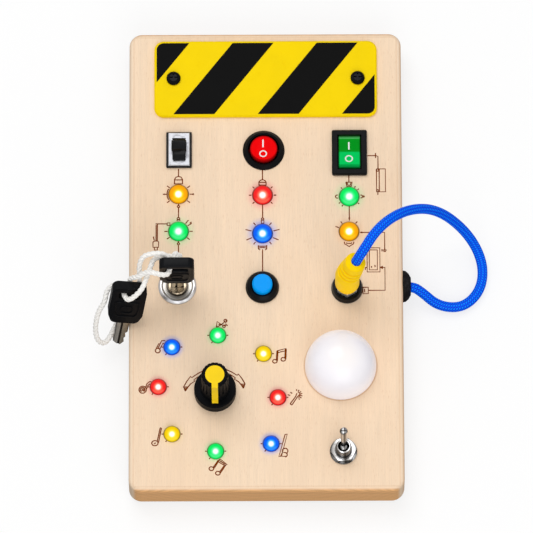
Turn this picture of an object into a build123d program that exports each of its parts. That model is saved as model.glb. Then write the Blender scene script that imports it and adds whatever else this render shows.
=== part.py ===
from build123d import *
from math import atan2, cos, degrees, radians, sin, sqrt, tan
import os

# Wooden busy board: a hollow beech board with switches, a key lock, a patch cable, a selector
# knob, lamps and a battery box. Millimetres. +Z is up, the board lies flat on its four feet,
# X runs across it and Y along it. The origin is under the board's centre, on the feet's plane.

os.makedirs("parts", exist_ok=True)

# ---------------------------------------------------------------- fits and clearances
RUN = 0.05            # radial running fit of a pin or shaft
SLIP = 0.1            # gap of a piece that is pushed into a hole
GAP = 0.3             # gap between pieces that only lie near each other
SEAT = 0.25           # gap round the back cover and the battery door

# ---------------------------------------------------------------- board and back cover
BOARD_W = 150.0
BOARD_L = 266.0
BOARD_T = 20.0
CORNER_R = 7.0
TOP_ROUND = 2.5
BOTTOM_ROUND = 2.0
WALL = 8.0
PANEL_T = 4.5
COVER_T = 2.5
COVER_LIP = 4.0
FOOT_PROUD = 1.5
FOOT_R = 4.0

BOTTOM = FOOT_PROUD
TOP = BOTTOM + BOARD_T
UNDER = TOP - PANEL_T                  # underside of the front panel, inside the board
COVER_TOP = BOTTOM + COVER_T           # inner face of the back cover
CAVITY_W = BOARD_W - 2 * WALL
CAVITY_L = BOARD_L - 2 * WALL
CAVITY_R = 3.0
COVER_W = CAVITY_W + 2 * COVER_LIP
COVER_L = CAVITY_L + 2 * COVER_LIP

BOSS = 11.0                            # square posts that take the cover screws
BOSS_X = (CAVITY_W - BOSS) / 2
BOSS_Y = (CAVITY_L - BOSS) / 2
BOSS_MID_Y = -30.0
BOSSES = [(sx * BOSS_X, y) for sx in (-1, 1) for y in (-BOSS_Y, BOSS_MID_Y, BOSS_Y)]
FOOT_INSET = 13.5
FEET = [(sx * BOSS_X, sy * (BOSS_Y - FOOT_INSET)) for sx in (-1, 1) for sy in (-1, 1)]

COVER_SCREW_R = 1.45
COVER_SCREW_HEAD_R = 2.8
COVER_SCREW_HEAD_H = 1.6
COVER_SCREW_LENGTH = 10.0

# ---------------------------------------------------------------- where things stand on the panel
# The two outer columns keep their distance from the board's long sides. The rest of the layout is
# drawn on a board of 150 x 266 and spreads with it.


def spread(y):
    """A place along the board, for a layout drawn 266 long."""
    return y * BOARD_L / 266.0


def spot(x, y):
    """A place on the panel, for a layout drawn 150 wide and 266 long."""
    return (x * BOARD_W / 150.0, spread(y))


LEFT = -BOARD_W / 2
RIGHT = BOARD_W / 2
PLATE_AT = (0.2, spread(105.5))
PADDLE_AT = (LEFT + 27.4, spread(64.0))
RED_AT = (-1.0, spread(63.8))
GREEN_AT = (RIGHT - 28.8, spread(62.0))
LOCK_AT = (LEFT + 26.5, spread(-15.5))
BUTTON_AT = (-2.0, spread(-16.1))
SOCKET_AT = (RIGHT - 30.6, spread(-16.9))
KNOB_AT = spot(-27.9, -76.6)
DOME_AT = spot(40.6, -61.6)
TOGGLE_AT = spot(41.8, -110.8)
GROMMET_Y = SOCKET_AT[1] + 4.6

AMBER_AT = [(LEFT + 27.1, spread(38.4)), (RIGHT - 29.3, spread(16.3))]
GREEN_LED_AT = [(LEFT + 27.1, spread(16.7)), (RIGHT - 29.1, spread(36.7))]
RED_LED_AT = [(-1.7, spread(37.7))]
BLUE_LED_AT = [(-1.8, spread(15.3))]
RING_BLUE_AT = [spot(-51.5, -50.4), spot(2.5, -106.1)]
RING_GREEN_AT = [spot(-26.4, -43.7), spot(-27.7, -110.3)]
RING_YELLOW_AT = [spot(-1.5, -54.4), spot(-51.4, -100.4)]
RING_RED_AT = [spot(6.3, -79.6), spot(-58.9, -73.3)]
BIG_LEDS = AMBER_AT + GREEN_LED_AT + RED_LED_AT + BLUE_LED_AT
RING_LEDS = RING_BLUE_AT + RING_GREEN_AT + RING_YELLOW_AT + RING_RED_AT

# ---------------------------------------------------------------- lamps
BIG_LED_R = 5.5
RING_LED_R = 4.5
BIG_LED_DOME_H = 3.8                   # domes above their short collars
RING_LED_DOME_H = 3.3
LED_COLLAR_H = 0.7
LED_FLANGE = 1.0                       # flange under the panel, wider and as thick as this
LEAD_R = 0.25
LEAD_SPREAD = 1.27
LEAD_STICK_OUT = 1.0

# ---------------------------------------------------------------- circuit boards
PCB_T = 1.6
PCB_TOP = UNDER - 4.5                  # the boards hang on wooden pillars under the panel
PCB_BOTTOM = PCB_TOP - PCB_T
PILLAR_R = 3.5
BOARD_SCREW_R = 1.0
BOARD_SCREW_HEAD_R = 2.2
BOARD_SCREW_HEAD_H = 1.3
BOARD_SCREW_LENGTH = 6.0
PILLAR_INSET = 3.5                     # pillars from the main board's edges
UPPER_BOARD = (BOARD_W - 42.0, spread(36.0))
UPPER_BOARD_AT = (-1.0, spread(27.0))
UPPER_PILLARS = [(x, spread(y)) for x in (-25.0, 23.0) for y in (14.0, 40.0)]
RING_BOARD = spot(75.5, 78.0)
RING_BOARD_AT = spot(-26.2, -76.6)
RING_BOARD_CUT = 13.0
RING_PILLARS = [spot(-57.5, -61.5), spot(5.0, -66.5), spot(5.5, -93.0), spot(-42.0, -108.0)]
MAIN_BOARD = spot(46.0, 44.0)
MAIN_BOARD_AT = spot(40.6, -62.0)
MAIN_REACH = (MAIN_BOARD[0] / 2 - PILLAR_INSET, MAIN_BOARD[1] / 2 - PILLAR_INSET)
MAIN_PILLARS = [
    (MAIN_BOARD_AT[0] + sx * MAIN_REACH[0], MAIN_BOARD_AT[1] + sy * MAIN_REACH[1])
    for sx in (-1, 1) for sy in (-1, 1)
]
PILLARS = UPPER_PILLARS + RING_PILLARS + MAIN_PILLARS

# ---------------------------------------------------------------- striped plate
PLATE_W = BOARD_W - 27.1
PLATE_L = 44.5
PLATE_T = 2.2
PLATE_R = 5.3
PLATE_BEVEL = 0.7
PLATE_SCREW_X = PLATE_W / 2 - 10.65
STRIPE_INSET = 1.3
STRIPE_T = 0.15
STRIPE_W = 22.5                        # measured along X
STRIPE_PITCH = 46.5
STRIPE_LEAN = 0.78                     # sideways shift per millimetre of height
PLATE_SCREW_R = 1.4
PLATE_SCREW_HEAD_R = 3.9
PLATE_SCREW_HEAD_H = 2.0
PLATE_SCREW_LENGTH = 5.5

# ---------------------------------------------------------------- paddle switch
PADDLE_FRAME = (14.1, 20.5)
PADDLE_FRAME_H = 1.6
PADDLE_FACE = (12.0, 19.4)
PADDLE_FACE_T = 0.9
PADDLE_SLOT = (7.3, 12.9)
PADDLE_BODY = (11.4, 17.4)
PADDLE_BODY_DEPTH = 9.0
PADDLE_PIVOT_DROP = 2.3                # pivot below the face plate's top
PADDLE_PIN_R = 1.0
PADDLE_HUB_R = 4.3
PADDLE_LEVER_W = 6.8
PADDLE_HEAD_W = 8.2
PADDLE_THROW = 20.0

# ---------------------------------------------------------------- rocker switches
RED_BEZEL_R = 11.5
RED_BEZEL_H = 2.6
RED_OPENING_R = 8.65
RED_NECK_R = 9.9
RED_ROCKER_R = 7.5
RED_ROCKER_TOP = 4.0                   # ridge height over the panel when level
RED_TILT = 7.0
GREEN_BEZEL = (19.3, 26.1)
GREEN_BEZEL_H = 2.5
GREEN_OPENING = (13.2, 20.3)
GREEN_NECK = (17.2, 22.6)
GREEN_ROCKER = (11.8, 18.4)
GREEN_ROCKER_TOP = 4.2
GREEN_TILT = 8.0
ROCKER_PIN_R = 1.1
ROCKER_PIVOT_DROP = 1.5                # pivot below the panel's face
ROCKER_DEPTH = 3.5                     # rocker below its pivot
SWITCH_DEPTH = 11.0                    # switch bodies below the panel's face
SWITCH_FLOOR = 2.2                     # bottom of a switch body
TERMINAL = (4.8, 0.8, 1.6)             # flat terminals under the rocker switches
PRESSED_DISH = 0.9                     # how far the rocker faces fall from the ridge

# ---------------------------------------------------------------- key lock and keys
LOCK_RING_R = 10.4
LOCK_RING_H = 2.5
LOCK_DISH_R = 8.65
LOCK_DISH_DEPTH = 0.9
LOCK_NECK_R = 8.0
LOCK_BOTTOM = BOTTOM + 6.0
BARREL_R = 5.0
BARREL_PROUD = 0.6                     # barrel face above the dish floor
KEYWAY_DEPTH = 10.0
CAM = (7.0, 15.0, 1.2)
CAM_STUB_R = 2.5
LOCK_NUT_FLATS = 20.0
LOCK_NUT_H = 2.5

KEY_W = 19.0                           # plastic head of a key
KEY_H = 27.0
KEY_T = 6.0
KEY_SHOULDER_W = 14.0                  # head width where the blade leaves it
KEY_SHOULDER_H = 6.0                   # where the head reaches its full width
KEY_ROUND = 3.6
KEY_SLOT = (12.0, 4.6)
KEY_SLOT_FROM_TOP = 5.8
BLADE_W = 7.0
BLADE_T = 2.2
BLADE_L = 19.0
BLADE_ROOT = 5.0                       # blade inside the head
KEY_NECK = 11.0                        # head above the lock's ring
SPARE_AT = (LOCK_AT[0] - 29.4, LOCK_AT[1] - 20.0, TOP + 4.0)   # middle of the spare key's shoulder, over the board's edge
SPARE_ACROSS = (0.986, -0.023, -0.163)
SPARE_FACING = (0.046, -0.914, 0.404)

# ---------------------------------------------------------------- push button
BUTTON_BEZEL_R = 9.15
BUTTON_BEZEL_H = 4.0
BUTTON_R = 5.5
BUTTON_TOP = 7.5                       # cap above the panel
BUTTON_TRAVEL = 2.5
BUTTON_NECK_R = 6.9
BUTTON_FLOOR = 2.0
BUTTON_CAP_LENGTH = 9.0
BUTTON_COLLAR = 0.6                    # cap's retaining collar
SPRING_WIRE_R = 0.3

# ---------------------------------------------------------------- jack and patch cable
SOCKET_R = 8.7
SOCKET_TOP_R = 8.0
SOCKET_H = 4.0
SOCKET_DISH_R = 7.2
SOCKET_DISH_DEPTH = 2.0
SOCKET_NECK_R = 6.0
SOCKET_NUT_FLATS = 16.0
SOCKET_NUT_H = 2.2
PIN_R = 3.15
PIN_LENGTH = 16.5
COLLAR_FLATS = 10.6
COLLAR_H = 5.0
BOOT_R = 6.65
BOOT_END_R = 5.9                       # at its lower end, over the collar
BOOT_TAPER = 3.0
BOOT_ELBOW = 22.5                      # height of the boot's bend above the panel
BOOT_LEAN = (4.6, 0.7, 20.0)           # from the bend to the boot's mouth
BOOT_MOUTH_R = 4.9
BOOT_RIBS = 3
CABLE_R = 2.75
CABLE_IN_BOOT = 6.0
GROMMET_R = 8.8
GROMMET_PROUD = 4.5
GROMMET_NECK_R = 5.0
GROMMET_LIP_R = 5.4
GROMMET_LIP_T = 1.5
CABLE_IN_GROMMET = 4.5                 # cable inside the wall's face

# ---------------------------------------------------------------- selector and knob
KNOB_SKIRT_R = 11.4
KNOB_SKIRT_H = 7.2
KNOB_R_LOW = 7.8
KNOB_R_HIGH = 7.25
KNOB_H = 30.5
KNOB_LIFT = 0.6                        # knob above the panel
KNOB_FLUTES = 20
KNOB_FLUTE_R = 0.5
KNOB_GRIP = 15.0                       # height of the fluted part
KNOB_CAP_R = 5.2
POINTER_W = 3.4
POINTER_T = 0.9
SHAFT_R = 3.0
SHAFT_IN_KNOB = 15.0
SELECTOR_R = 8.5
SELECTOR_DEPTH = 8.0
SELECTOR_BUSH_R = 4.5
SELECTOR_NUT_FLATS = 11.0
SELECTOR_NUT_H = 2.0

# ---------------------------------------------------------------- dome lamp
DOME_R = 19.5
DOME_WALL = 1.6
DOME_FLANGE = 0.8
DOME_NECK_R = 16.8
LAMP_LED_R = 2.5
LAMP_LED_H = 5.0

# ---------------------------------------------------------------- toggle switch
TOGGLE_BUSH_R = 4.15
TOGGLE_BUSH_H = 9.6
TOGGLE_BORE_R = 3.15
TOGGLE_BODY = (8.0, 13.0, 9.0)
TOGGLE_PIVOT = 6.5                     # pivot above the panel
TOGGLE_LEVER = 15.6
TOGGLE_TILT = 17.0
TOGGLE_TIP_R = 2.2
TOGGLE_PIN_R = 0.5                     # pin through the ball, in the bushing's wall
TOGGLE_PIN_REACH = TOGGLE_BORE_R + 0.5
TOGGLE_NUT_FLATS = 12.4
TOGGLE_NUT_H = 2.6
TOGGLE_WASHER_R = 7.4
TOGGLE_WASHER_T = 0.8

# ---------------------------------------------------------------- batteries, speaker
CELL_R = 5.2
CELL_L = 44.5
CELL_PITCH = 11.2
CELLS = 3
CELL_FLOAT = 0.4                       # cell above the door's inner face
BOX_WALL = 1.2
CELL_END = 4.55                        # room for the contacts at each end of a cell
CELL_SIDE = 1.4                        # and beside the outer cells
BOX_GAP = 2.0                          # box beside the cover's corner post
BOX_END_GAP = 1.0                      # and below the cavity's top end
BOX_L = CELL_L + 2 * (CELL_END + BOX_WALL)
BOX_W = (CELLS - 1) * CELL_PITCH + 2 * (CELL_R + CELL_SIDE + BOX_WALL)
BOX_AT = (BOX_L / 2 + BOX_GAP + BOSS - CAVITY_W / 2, CAVITY_L / 2 - BOX_END_GAP - BOX_W / 2)
BOX_TOP = UNDER - 0.5
DOOR_T = 1.8
DOOR_OVER = 2.0                        # door beyond the box on three sides
DOOR_TAIL = 9.0                        # and at the screw's end
DOOR_PIN_R = 0.5
DOOR_PIN_L = 1.5
DOOR_SCREW_R = 1.2
DOOR_SCREW_LENGTH = 7.0
DOOR_BOSS_R = 3.6
DOOR_BOSS_H = 6.0
SPEAKER_R = 18.0
SPEAKER_AT = (CAVITY_W / 2 - BOSS - SPEAKER_R - 6.0, CAVITY_L / 2 - SPEAKER_R - 3.0)
SPEAKER_H = 8.0
GRILLE_HOLE_R = 1.2
GRILLE_PITCH = 4.5
GRILLE_RINGS = 3

# ---------------------------------------------------------------- cords: points in order
KEY_CORD_R = 1.5
KNOT_R = 3.2


def carried(points, at, drawn_at):
    """A cord's points, moved as far as the fitting at has moved from where they were drawn."""
    shift = (at[0] - drawn_at[0], at[1] - drawn_at[1], TOP - 21.5)
    return [(x + shift[0], y + shift[1], z + shift[2]) for x, y, z in points]


KEY_CORD_ROUTE = carried([
    (-75.0, -22.2, 39.5),
    (-74.4, -20.8, 43.6),
    (-73.8, -19.7, 48.3),
    (-69.5, -20.9, 53.0),
    (-65.4, -19.5, 57.0),
    (-61.6, -20.6, 59.8),
    (-57.4, -21.8, 59.2),
    (-53.8, -21.5, 57.6),
    (-52.2, -18.8, 56.4),
    (-52.2, -13.0, 56.3),
    (-53.4, -10.2, 56.9),
    (-57.0, -9.2, 58.6),
    (-62.0, -9.4, 58.9),
    (-67.0, -10.2, 56.6),
    (-69.0, -13.5, 51.8),
    (-68.8, -20.4, 47.7),
    (-69.1, -22.4, 40.3),
    (-71.8, -26.2, 33.0),
    (-77.6, -28.9, 27.5),
    (-80.1, -32.0, 20.4),
    (-82.4, -34.8, 12.7),
    (-87.5, -43.6, 8.0),
    (-91.8, -44.2, 12.2),
    (-93.4, -40.9, 18.0),
    (-93.0, -36.4, 25.0),
    (-91.1, -32.3, 31.5),
    (-87.8, -29.6, 37.0),
    (-87.0, -24.6, 40.2),
    (-83.9, -21.8, 41.9),
    (-79.8, -20.8, 42.6),
    (-77.6, -24.2, 43.9),
    (-77.3, -28.4, 45.7),
    (-75.3, -32.4, 47.2),
    (-71.5, -31.3, 50.0),
    (-67.1, -27.7, 52.8),
    (-64.7, -20.7, 52.4),
    (-62.5, -14.6, 53.2),
    (-61.2, -10.8, 53.6),
    (-56.6, -9.0, 53.2),
    (-51.0, -8.8, 52.8),
], LOCK_AT, (-48.5, -15.5))
CABLE_ROUTE = carried([
    (47.65, -16.4, 58.15),
    (50.4, -16.0, 70.2),
    (61.5, 0.6, 75.0),
    (77.5, 14.6, 63.0),
    (94.5, 21.6, 42.0),
    (111.0, 17.0, 17.0),
    (119.6, 4.5, 4.2),
    (118.6, -11.0, 2.9),
    (108.8, -21.8, 2.9),
    (96.0, -23.6, 3.6),
    (86.0, -12.3, 11.5),
    (70.5, -12.3, 11.5),
], SOCKET_AT, (44.4, -16.9))


def place(at, z):
    """A level plane over the given place on the board, at height z."""
    return Plane((at[0], at[1], z))


def finish_part(part, name):
    """Label a finished piece and write its STEP file."""
    part.label = name
    export_step(part, f"parts/{name}.step")


def turned(points, plane):
    """Revolve a half section, given as (radius, height) points, about the plane's normal."""
    section = Plane(plane.origin, x_dir=plane.x_dir, z_dir=-plane.y_dir)
    with BuildSketch(section) as drawn:
        with BuildLine():
            Polyline(*points, close=True)
        make_face()
    revolve(drawn.sketch, axis=Axis(plane.origin, plane.z_dir))


def screw(plane, head_r, head_h, shank_r, length, flat_head):
    """One cross-head screw. Its head starts at the plane and its shank runs along the normal."""
    if flat_head:
        points = [(0, 0), (head_r, 0), (shank_r, head_h), (shank_r, length - shank_r), (0, length)]
    else:
        rim = 0.45 * head_h
        points = [
            (0, -head_h), (0.55 * head_r, -head_h), (0.88 * head_r, -1.7 * rim), (head_r, -rim), (head_r, 0),
            (shank_r, 0), (shank_r, length - shank_r), (0, length),
        ]
    turned(points, plane)
    face = 0.0 if flat_head else -head_h
    with BuildSketch(plane.offset(face)) as drawn:
        for turn in (0, 90):
            Rectangle(1.15 * head_r, 0.24 * head_r, rotation=turn)
    extrude(drawn.sketch, amount=0.45 * head_h, mode=Mode.SUBTRACT)


def hex_nut(plane, flats, height, bore_r, turn=0.0):
    """A plain hexagon nut standing on the plane, with its outer corners taken off."""
    with BuildSketch(plane) as drawn:
        RegularPolygon(flats / 2, 6, major_radius=False, rotation=turn)
        Circle(bore_r, mode=Mode.SUBTRACT)
    extrude(drawn.sketch, amount=height)


def fillet_route(points, start=0):
    """Radii for a cord's route: 0.45 of the shorter run over the tangent of half the turn."""
    radii = []
    for a, b, c in zip(points, points[1:], points[2:]):
        into = Vector(*b) - Vector(*a)
        out = Vector(*c) - Vector(*b)
        half = radians(into.get_angle(out)) / 2
        radii.append(0.45 * min(into.length, out.length) / tan(half))
    return radii


def cord(name, points, radius):
    """A round cord along straight runs joined by tangent arcs."""
    radii = fillet_route(points)
    with BuildPart() as piece:
        with BuildLine() as path:
            FilletPolyline(*points, radius=radii)
        start = Plane(points[0], z_dir=Vector(*points[1]) - Vector(*points[0]))
        with BuildSketch(start):
            Circle(radius)
        sweep(path=path.wires()[0])
    length = sum(edge.length for edge in path.edges())
    section = 3.141592653589793 * radius ** 2
    print(f"{name}: length {length:.1f}, volume {piece.part.volume:.0f} against {section * length:.0f}")
    print("   radii", [round(r, 1) for r in radii])
    finish_part(piece.part, name)


# ================================================================ case
SWITCH_BOTTOM = TOP - SWITCH_DEPTH
GROMMET_Z = (BOTTOM + TOP) / 2
WALL_FACE = BOARD_W / 2
PLATE_TOP = TOP + PLATE_T
PLATE_SCREWS = [(PLATE_AT[0] + sx * PLATE_SCREW_X, PLATE_AT[1]) for sx in (-1, 1)]

with BuildPart() as case:
    with BuildSketch(Plane.XY.offset(BOTTOM)):
        RectangleRounded(BOARD_W, BOARD_L, CORNER_R)
    extrude(amount=BOARD_T)
    fillet(case.faces().sort_by(Axis.Z)[-1].edges(), radius=TOP_ROUND)
    fillet(case.faces().sort_by(Axis.Z)[0].edges(), radius=BOTTOM_ROUND)
    with BuildSketch(Plane.XY.offset(BOTTOM)):
        RectangleRounded(COVER_W + 2 * SEAT, COVER_L + 2 * SEAT, CAVITY_R + SEAT)
    extrude(amount=COVER_T, mode=Mode.SUBTRACT)
    with BuildSketch(Plane.XY.offset(COVER_TOP)):
        RectangleRounded(CAVITY_W, CAVITY_L, CAVITY_R)
        with Locations(*BOSSES):
            Rectangle(BOSS, BOSS, mode=Mode.SUBTRACT)
    extrude(amount=UNDER - COVER_TOP, mode=Mode.SUBTRACT)
    with BuildSketch(Plane.XY.offset(PCB_TOP)):
        with Locations(*PILLARS):
            Circle(PILLAR_R)
    extrude(amount=UNDER - PCB_TOP)
    with BuildSketch(Plane.XY.offset(UNDER)):
        with Locations(PADDLE_AT):
            Rectangle(PADDLE_BODY[0] + 2 * SLIP, PADDLE_BODY[1] + 2 * SLIP)
        with Locations(GREEN_AT):
            Rectangle(GREEN_NECK[0] + 2 * SLIP, GREEN_NECK[1] + 2 * SLIP)
        with Locations(RED_AT):
            Circle(RED_NECK_R + SLIP)
        with Locations(LOCK_AT):
            Circle(LOCK_NECK_R + SLIP)
        with Locations(BUTTON_AT):
            Circle(BUTTON_NECK_R + SLIP)
        with Locations(SOCKET_AT):
            Circle(SOCKET_NECK_R + SLIP)
        with Locations(KNOB_AT):
            Circle(SELECTOR_BUSH_R + SLIP)
        with Locations(DOME_AT):
            Circle(DOME_NECK_R + SLIP)
        with Locations(TOGGLE_AT):
            Circle(TOGGLE_BUSH_R + SLIP)
        with Locations(*BIG_LEDS):
            Circle(BIG_LED_R + SLIP)
        with Locations(*RING_LEDS):
            Circle(RING_LED_R + SLIP)
    extrude(amount=PANEL_T, mode=Mode.SUBTRACT)
    with BuildSketch(Plane.XY.offset(COVER_TOP)):
        with Locations(*BOSSES):
            Circle(COVER_SCREW_R + RUN)
    extrude(amount=COVER_SCREW_LENGTH - COVER_T + 1, mode=Mode.SUBTRACT)
    with BuildSketch(Plane.XY.offset(PCB_TOP)):
        with Locations(*PILLARS):
            Circle(BOARD_SCREW_R + RUN)
    extrude(amount=BOARD_SCREW_LENGTH - PCB_T + 1, mode=Mode.SUBTRACT)
    with BuildSketch(Plane.XY.offset(TOP)):
        with Locations(*PLATE_SCREWS):
            Circle(PLATE_SCREW_R + RUN)
    extrude(amount=-(PLATE_SCREW_LENGTH - PLATE_T + 0.5), mode=Mode.SUBTRACT)
    with BuildSketch(Plane.YZ.offset(WALL_FACE)):
        with Locations((GROMMET_Y, GROMMET_Z)):
            Circle(GROMMET_NECK_R + SLIP)
    extrude(amount=-(WALL + 1), mode=Mode.SUBTRACT)
finish_part(case.part, "case")

# ================================================================ back cover, screws, feet
DOOR_L = BOX_L + DOOR_OVER + DOOR_TAIL
DOOR_W = BOX_W + 2 * DOOR_OVER
DOOR_X0 = BOX_AT[0] - BOX_L / 2 - DOOR_OVER          # hinged end of the door
DOOR_MID = (DOOR_X0 + DOOR_L / 2, BOX_AT[1])
DOOR_AXIS_Z = BOTTOM + DOOR_T / 2
DOOR_SCREW_AT = (DOOR_X0 + DOOR_L - DOOR_TAIL / 2, BOX_AT[1])
DOOR_SEAT_Z = BOTTOM + DOOR_T + 0.1
CELL_OPENING = (BOX_L - 2 * BOX_WALL, BOX_W - 2 * BOX_WALL)

with BuildPart() as back_cover:
    with BuildSketch(Plane.XY.offset(BOTTOM)):
        RectangleRounded(COVER_W, COVER_L, CAVITY_R)
    extrude(amount=COVER_T)
    with BuildSketch(Plane.XY.offset(COVER_TOP)):
        with Locations(DOOR_SCREW_AT):
            Circle(DOOR_BOSS_R)
    extrude(amount=DOOR_BOSS_H)
    with BuildSketch(Plane.XY.offset(BOTTOM)):
        with Locations(DOOR_MID):
            Rectangle(DOOR_L + 2 * SEAT, DOOR_W + 2 * SEAT)
    extrude(amount=DOOR_SEAT_Z - BOTTOM, mode=Mode.SUBTRACT)
    with BuildSketch(Plane.XY.offset(BOTTOM)):
        with Locations(BOX_AT):
            Rectangle(*CELL_OPENING)
        with Locations(SPEAKER_AT):
            for ring in range(GRILLE_RINGS):
                with PolarLocations(ring * GRILLE_PITCH, max(1, 6 * ring)):
                    Circle(GRILLE_HOLE_R)
    extrude(amount=COVER_T, mode=Mode.SUBTRACT)
    with BuildSketch(Plane.XY.offset(BOTTOM)):
        with Locations(DOOR_SCREW_AT):
            Circle(DOOR_SCREW_R + 2 * GAP)
    extrude(amount=COVER_T + DOOR_BOSS_H, mode=Mode.SUBTRACT)
    with Locations(*[Pos(DOOR_X0 + DOOR_T / 2, DOOR_MID[1], DOOR_AXIS_Z)]):
        Cylinder(DOOR_PIN_R + RUN, DOOR_W + 2 * DOOR_PIN_L + 0.4, rotation=(90, 0, 0), mode=Mode.SUBTRACT)
    for at in BOSSES:
        with Locations(Pos(at[0], at[1], BOTTOM)):
            Cone(COVER_SCREW_HEAD_R + SLIP, COVER_SCREW_R + SLIP, COVER_SCREW_HEAD_H,
                 align=(Align.CENTER, Align.CENTER, Align.MIN), mode=Mode.SUBTRACT)
            Cylinder(COVER_SCREW_R + SLIP, COVER_T,
                     align=(Align.CENTER, Align.CENTER, Align.MIN), mode=Mode.SUBTRACT)
finish_part(back_cover.part, "back_cover")

with BuildPart() as cover_screws:
    for at in BOSSES:
        screw(place(at, BOTTOM), COVER_SCREW_HEAD_R, COVER_SCREW_HEAD_H, COVER_SCREW_R,
              COVER_SCREW_LENGTH, flat_head=True)
finish_part(cover_screws.part, "cover_screws")

with BuildPart() as rubber_feet:
    with BuildSketch(Plane.XY):
        with Locations(*FEET):
            Circle(FOOT_R)
    extrude(amount=FOOT_PROUD)
    fillet(rubber_feet.edges().filter_by(GeomType.CIRCLE).group_by(Axis.Z)[0], radius=0.4 * FOOT_PROUD)
finish_part(rubber_feet.part, "rubber_feet")

# ================================================================ striped plate
with BuildPart() as hazard_plate:
    with BuildSketch(place(PLATE_AT, TOP)):
        RectangleRounded(PLATE_W, PLATE_L, PLATE_R)
    extrude(amount=PLATE_T)
    chamfer(hazard_plate.faces().sort_by(Axis.Z)[-1].edges(), length=PLATE_BEVEL)
    with BuildSketch(Plane.XY.offset(TOP)):
        with Locations(*PLATE_SCREWS):
            Circle(PLATE_SCREW_R + SLIP)
    extrude(amount=PLATE_T, mode=Mode.SUBTRACT)
finish_part(hazard_plate.part, "hazard_plate")

STRIPE_FIELD = (PLATE_W - 2 * STRIPE_INSET, PLATE_L - 2 * STRIPE_INSET)
STRIPE_REACH = PLATE_L / 2
with BuildPart() as hazard_stripes:
    with BuildSketch(place(PLATE_AT, PLATE_TOP)):
        for index in (-1.5, -0.5, 0.5, 1.5):
            middle = index * STRIPE_PITCH
            lean = STRIPE_LEAN * STRIPE_REACH
            with BuildLine():
                Polyline(
                    (middle - STRIPE_W / 2 - lean, -STRIPE_REACH),
                    (middle + STRIPE_W / 2 - lean, -STRIPE_REACH),
                    (middle + STRIPE_W / 2 + lean, STRIPE_REACH),
                    (middle - STRIPE_W / 2 + lean, STRIPE_REACH),
                    close=True,
                )
            make_face()
        RectangleRounded(*STRIPE_FIELD, PLATE_R - STRIPE_INSET, mode=Mode.INTERSECT)
        with Locations(*[(sx * PLATE_SCREW_X, 0) for sx in (-1, 1)]):
            Circle(PLATE_SCREW_HEAD_R + GAP, mode=Mode.SUBTRACT)
    extrude(amount=STRIPE_T)
finish_part(hazard_stripes.part, "hazard_stripes")

with BuildPart() as plate_screws:
    for at in PLATE_SCREWS:
        down = Plane((at[0], at[1], PLATE_TOP), x_dir=(1, 0, 0), z_dir=(0, 0, -1))
        screw(down, PLATE_SCREW_HEAD_R, PLATE_SCREW_HEAD_H, PLATE_SCREW_R, PLATE_SCREW_LENGTH, flat_head=False)
finish_part(plate_screws.part, "plate_screws")

# ================================================================ paddle switch
PADDLE_FACE_TOP = TOP + PADDLE_FRAME_H + PADDLE_FACE_T
PADDLE_PIVOT_Z = PADDLE_FACE_TOP - PADDLE_PIVOT_DROP
PADDLE_POCKET = PADDLE_PIVOT_Z - PADDLE_HUB_R - GAP

with BuildPart() as paddle_housing:
    with BuildSketch(place(PADDLE_AT, TOP)):
        RectangleRounded(*PADDLE_FRAME, 0.6)
    extrude(amount=PADDLE_FRAME_H)
    with BuildSketch(place(PADDLE_AT, TOP)):
        Rectangle(*PADDLE_BODY)
    extrude(amount=-PADDLE_BODY_DEPTH)
    with BuildSketch(place(PADDLE_AT, PADDLE_POCKET)):
        Rectangle(*PADDLE_SLOT)
    extrude(amount=TOP + PADDLE_FRAME_H - PADDLE_POCKET, mode=Mode.SUBTRACT)
    with Locations(Pos(PADDLE_AT[0], PADDLE_AT[1], PADDLE_PIVOT_Z)):
        Cylinder(PADDLE_PIN_R + RUN, PADDLE_BODY[0] - 1.0, rotation=(0, 90, 0), mode=Mode.SUBTRACT)
finish_part(paddle_housing.part, "paddle_housing")

with BuildPart() as paddle_plate:
    with BuildSketch(place(PADDLE_AT, TOP + PADDLE_FRAME_H)):
        Rectangle(*PADDLE_FACE)
    extrude(amount=PADDLE_FACE_T)
    chamfer(paddle_plate.faces().sort_by(Axis.Z)[-1].edges(), length=0.45)
    with BuildSketch(place(PADDLE_AT, TOP + PADDLE_FRAME_H)):
        Rectangle(*PADDLE_SLOT)
    extrude(amount=PADDLE_FACE_T, mode=Mode.SUBTRACT)
finish_part(paddle_plate.part, "paddle_plate")

paddle_side = Plane((PADDLE_AT[0], PADDLE_AT[1], PADDLE_FACE_TOP), x_dir=(0, 1, 0), z_dir=(1, 0, 0))
with BuildPart() as paddle_lever:
    with BuildSketch(paddle_side):
        with Locations((0, -PADDLE_PIVOT_DROP)):
            Circle(PADDLE_HUB_R)
        with BuildLine():
            tongue = Polyline((-2.0, -1.0), (-5.0, 0.45), (-6.5, 0.45), (-6.9, 1.3), (-5.0, 1.9))
            scoop = ThreePointArc((-5.0, 1.9), (-3.0, 2.9), (-1.6, 4.9))
            Polyline((-1.6, 4.9), (2.6, 5.6), (4.2, 4.4), (4.3, 0.4), (3.4, -1.0), (-2.0, -1.0))
        make_face()
    extrude(amount=PADDLE_LEVER_W / 2, both=True)
    with BuildSketch(paddle_side):
        with BuildLine():
            Polyline((-1.4, 4.4), (2.4, 5.1), (3.7, 4.1), (3.8, 2.2), (-2.2, 2.2), close=True)
        make_face()
    extrude(amount=PADDLE_HEAD_W / 2, both=True)
    with Locations(Pos(PADDLE_AT[0], PADDLE_AT[1], PADDLE_PIVOT_Z)):
        Cylinder(PADDLE_PIN_R, PADDLE_BODY[0] - 1.2, rotation=(0, 90, 0))
finish_part(paddle_lever.part, "paddle_lever")

# ================================================================ rocker switches
ROCKER_PIVOT_Z = TOP - ROCKER_PIVOT_DROP
ROCKER_FLOOR = ROCKER_PIVOT_Z - ROCKER_DEPTH - 2.0


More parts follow.
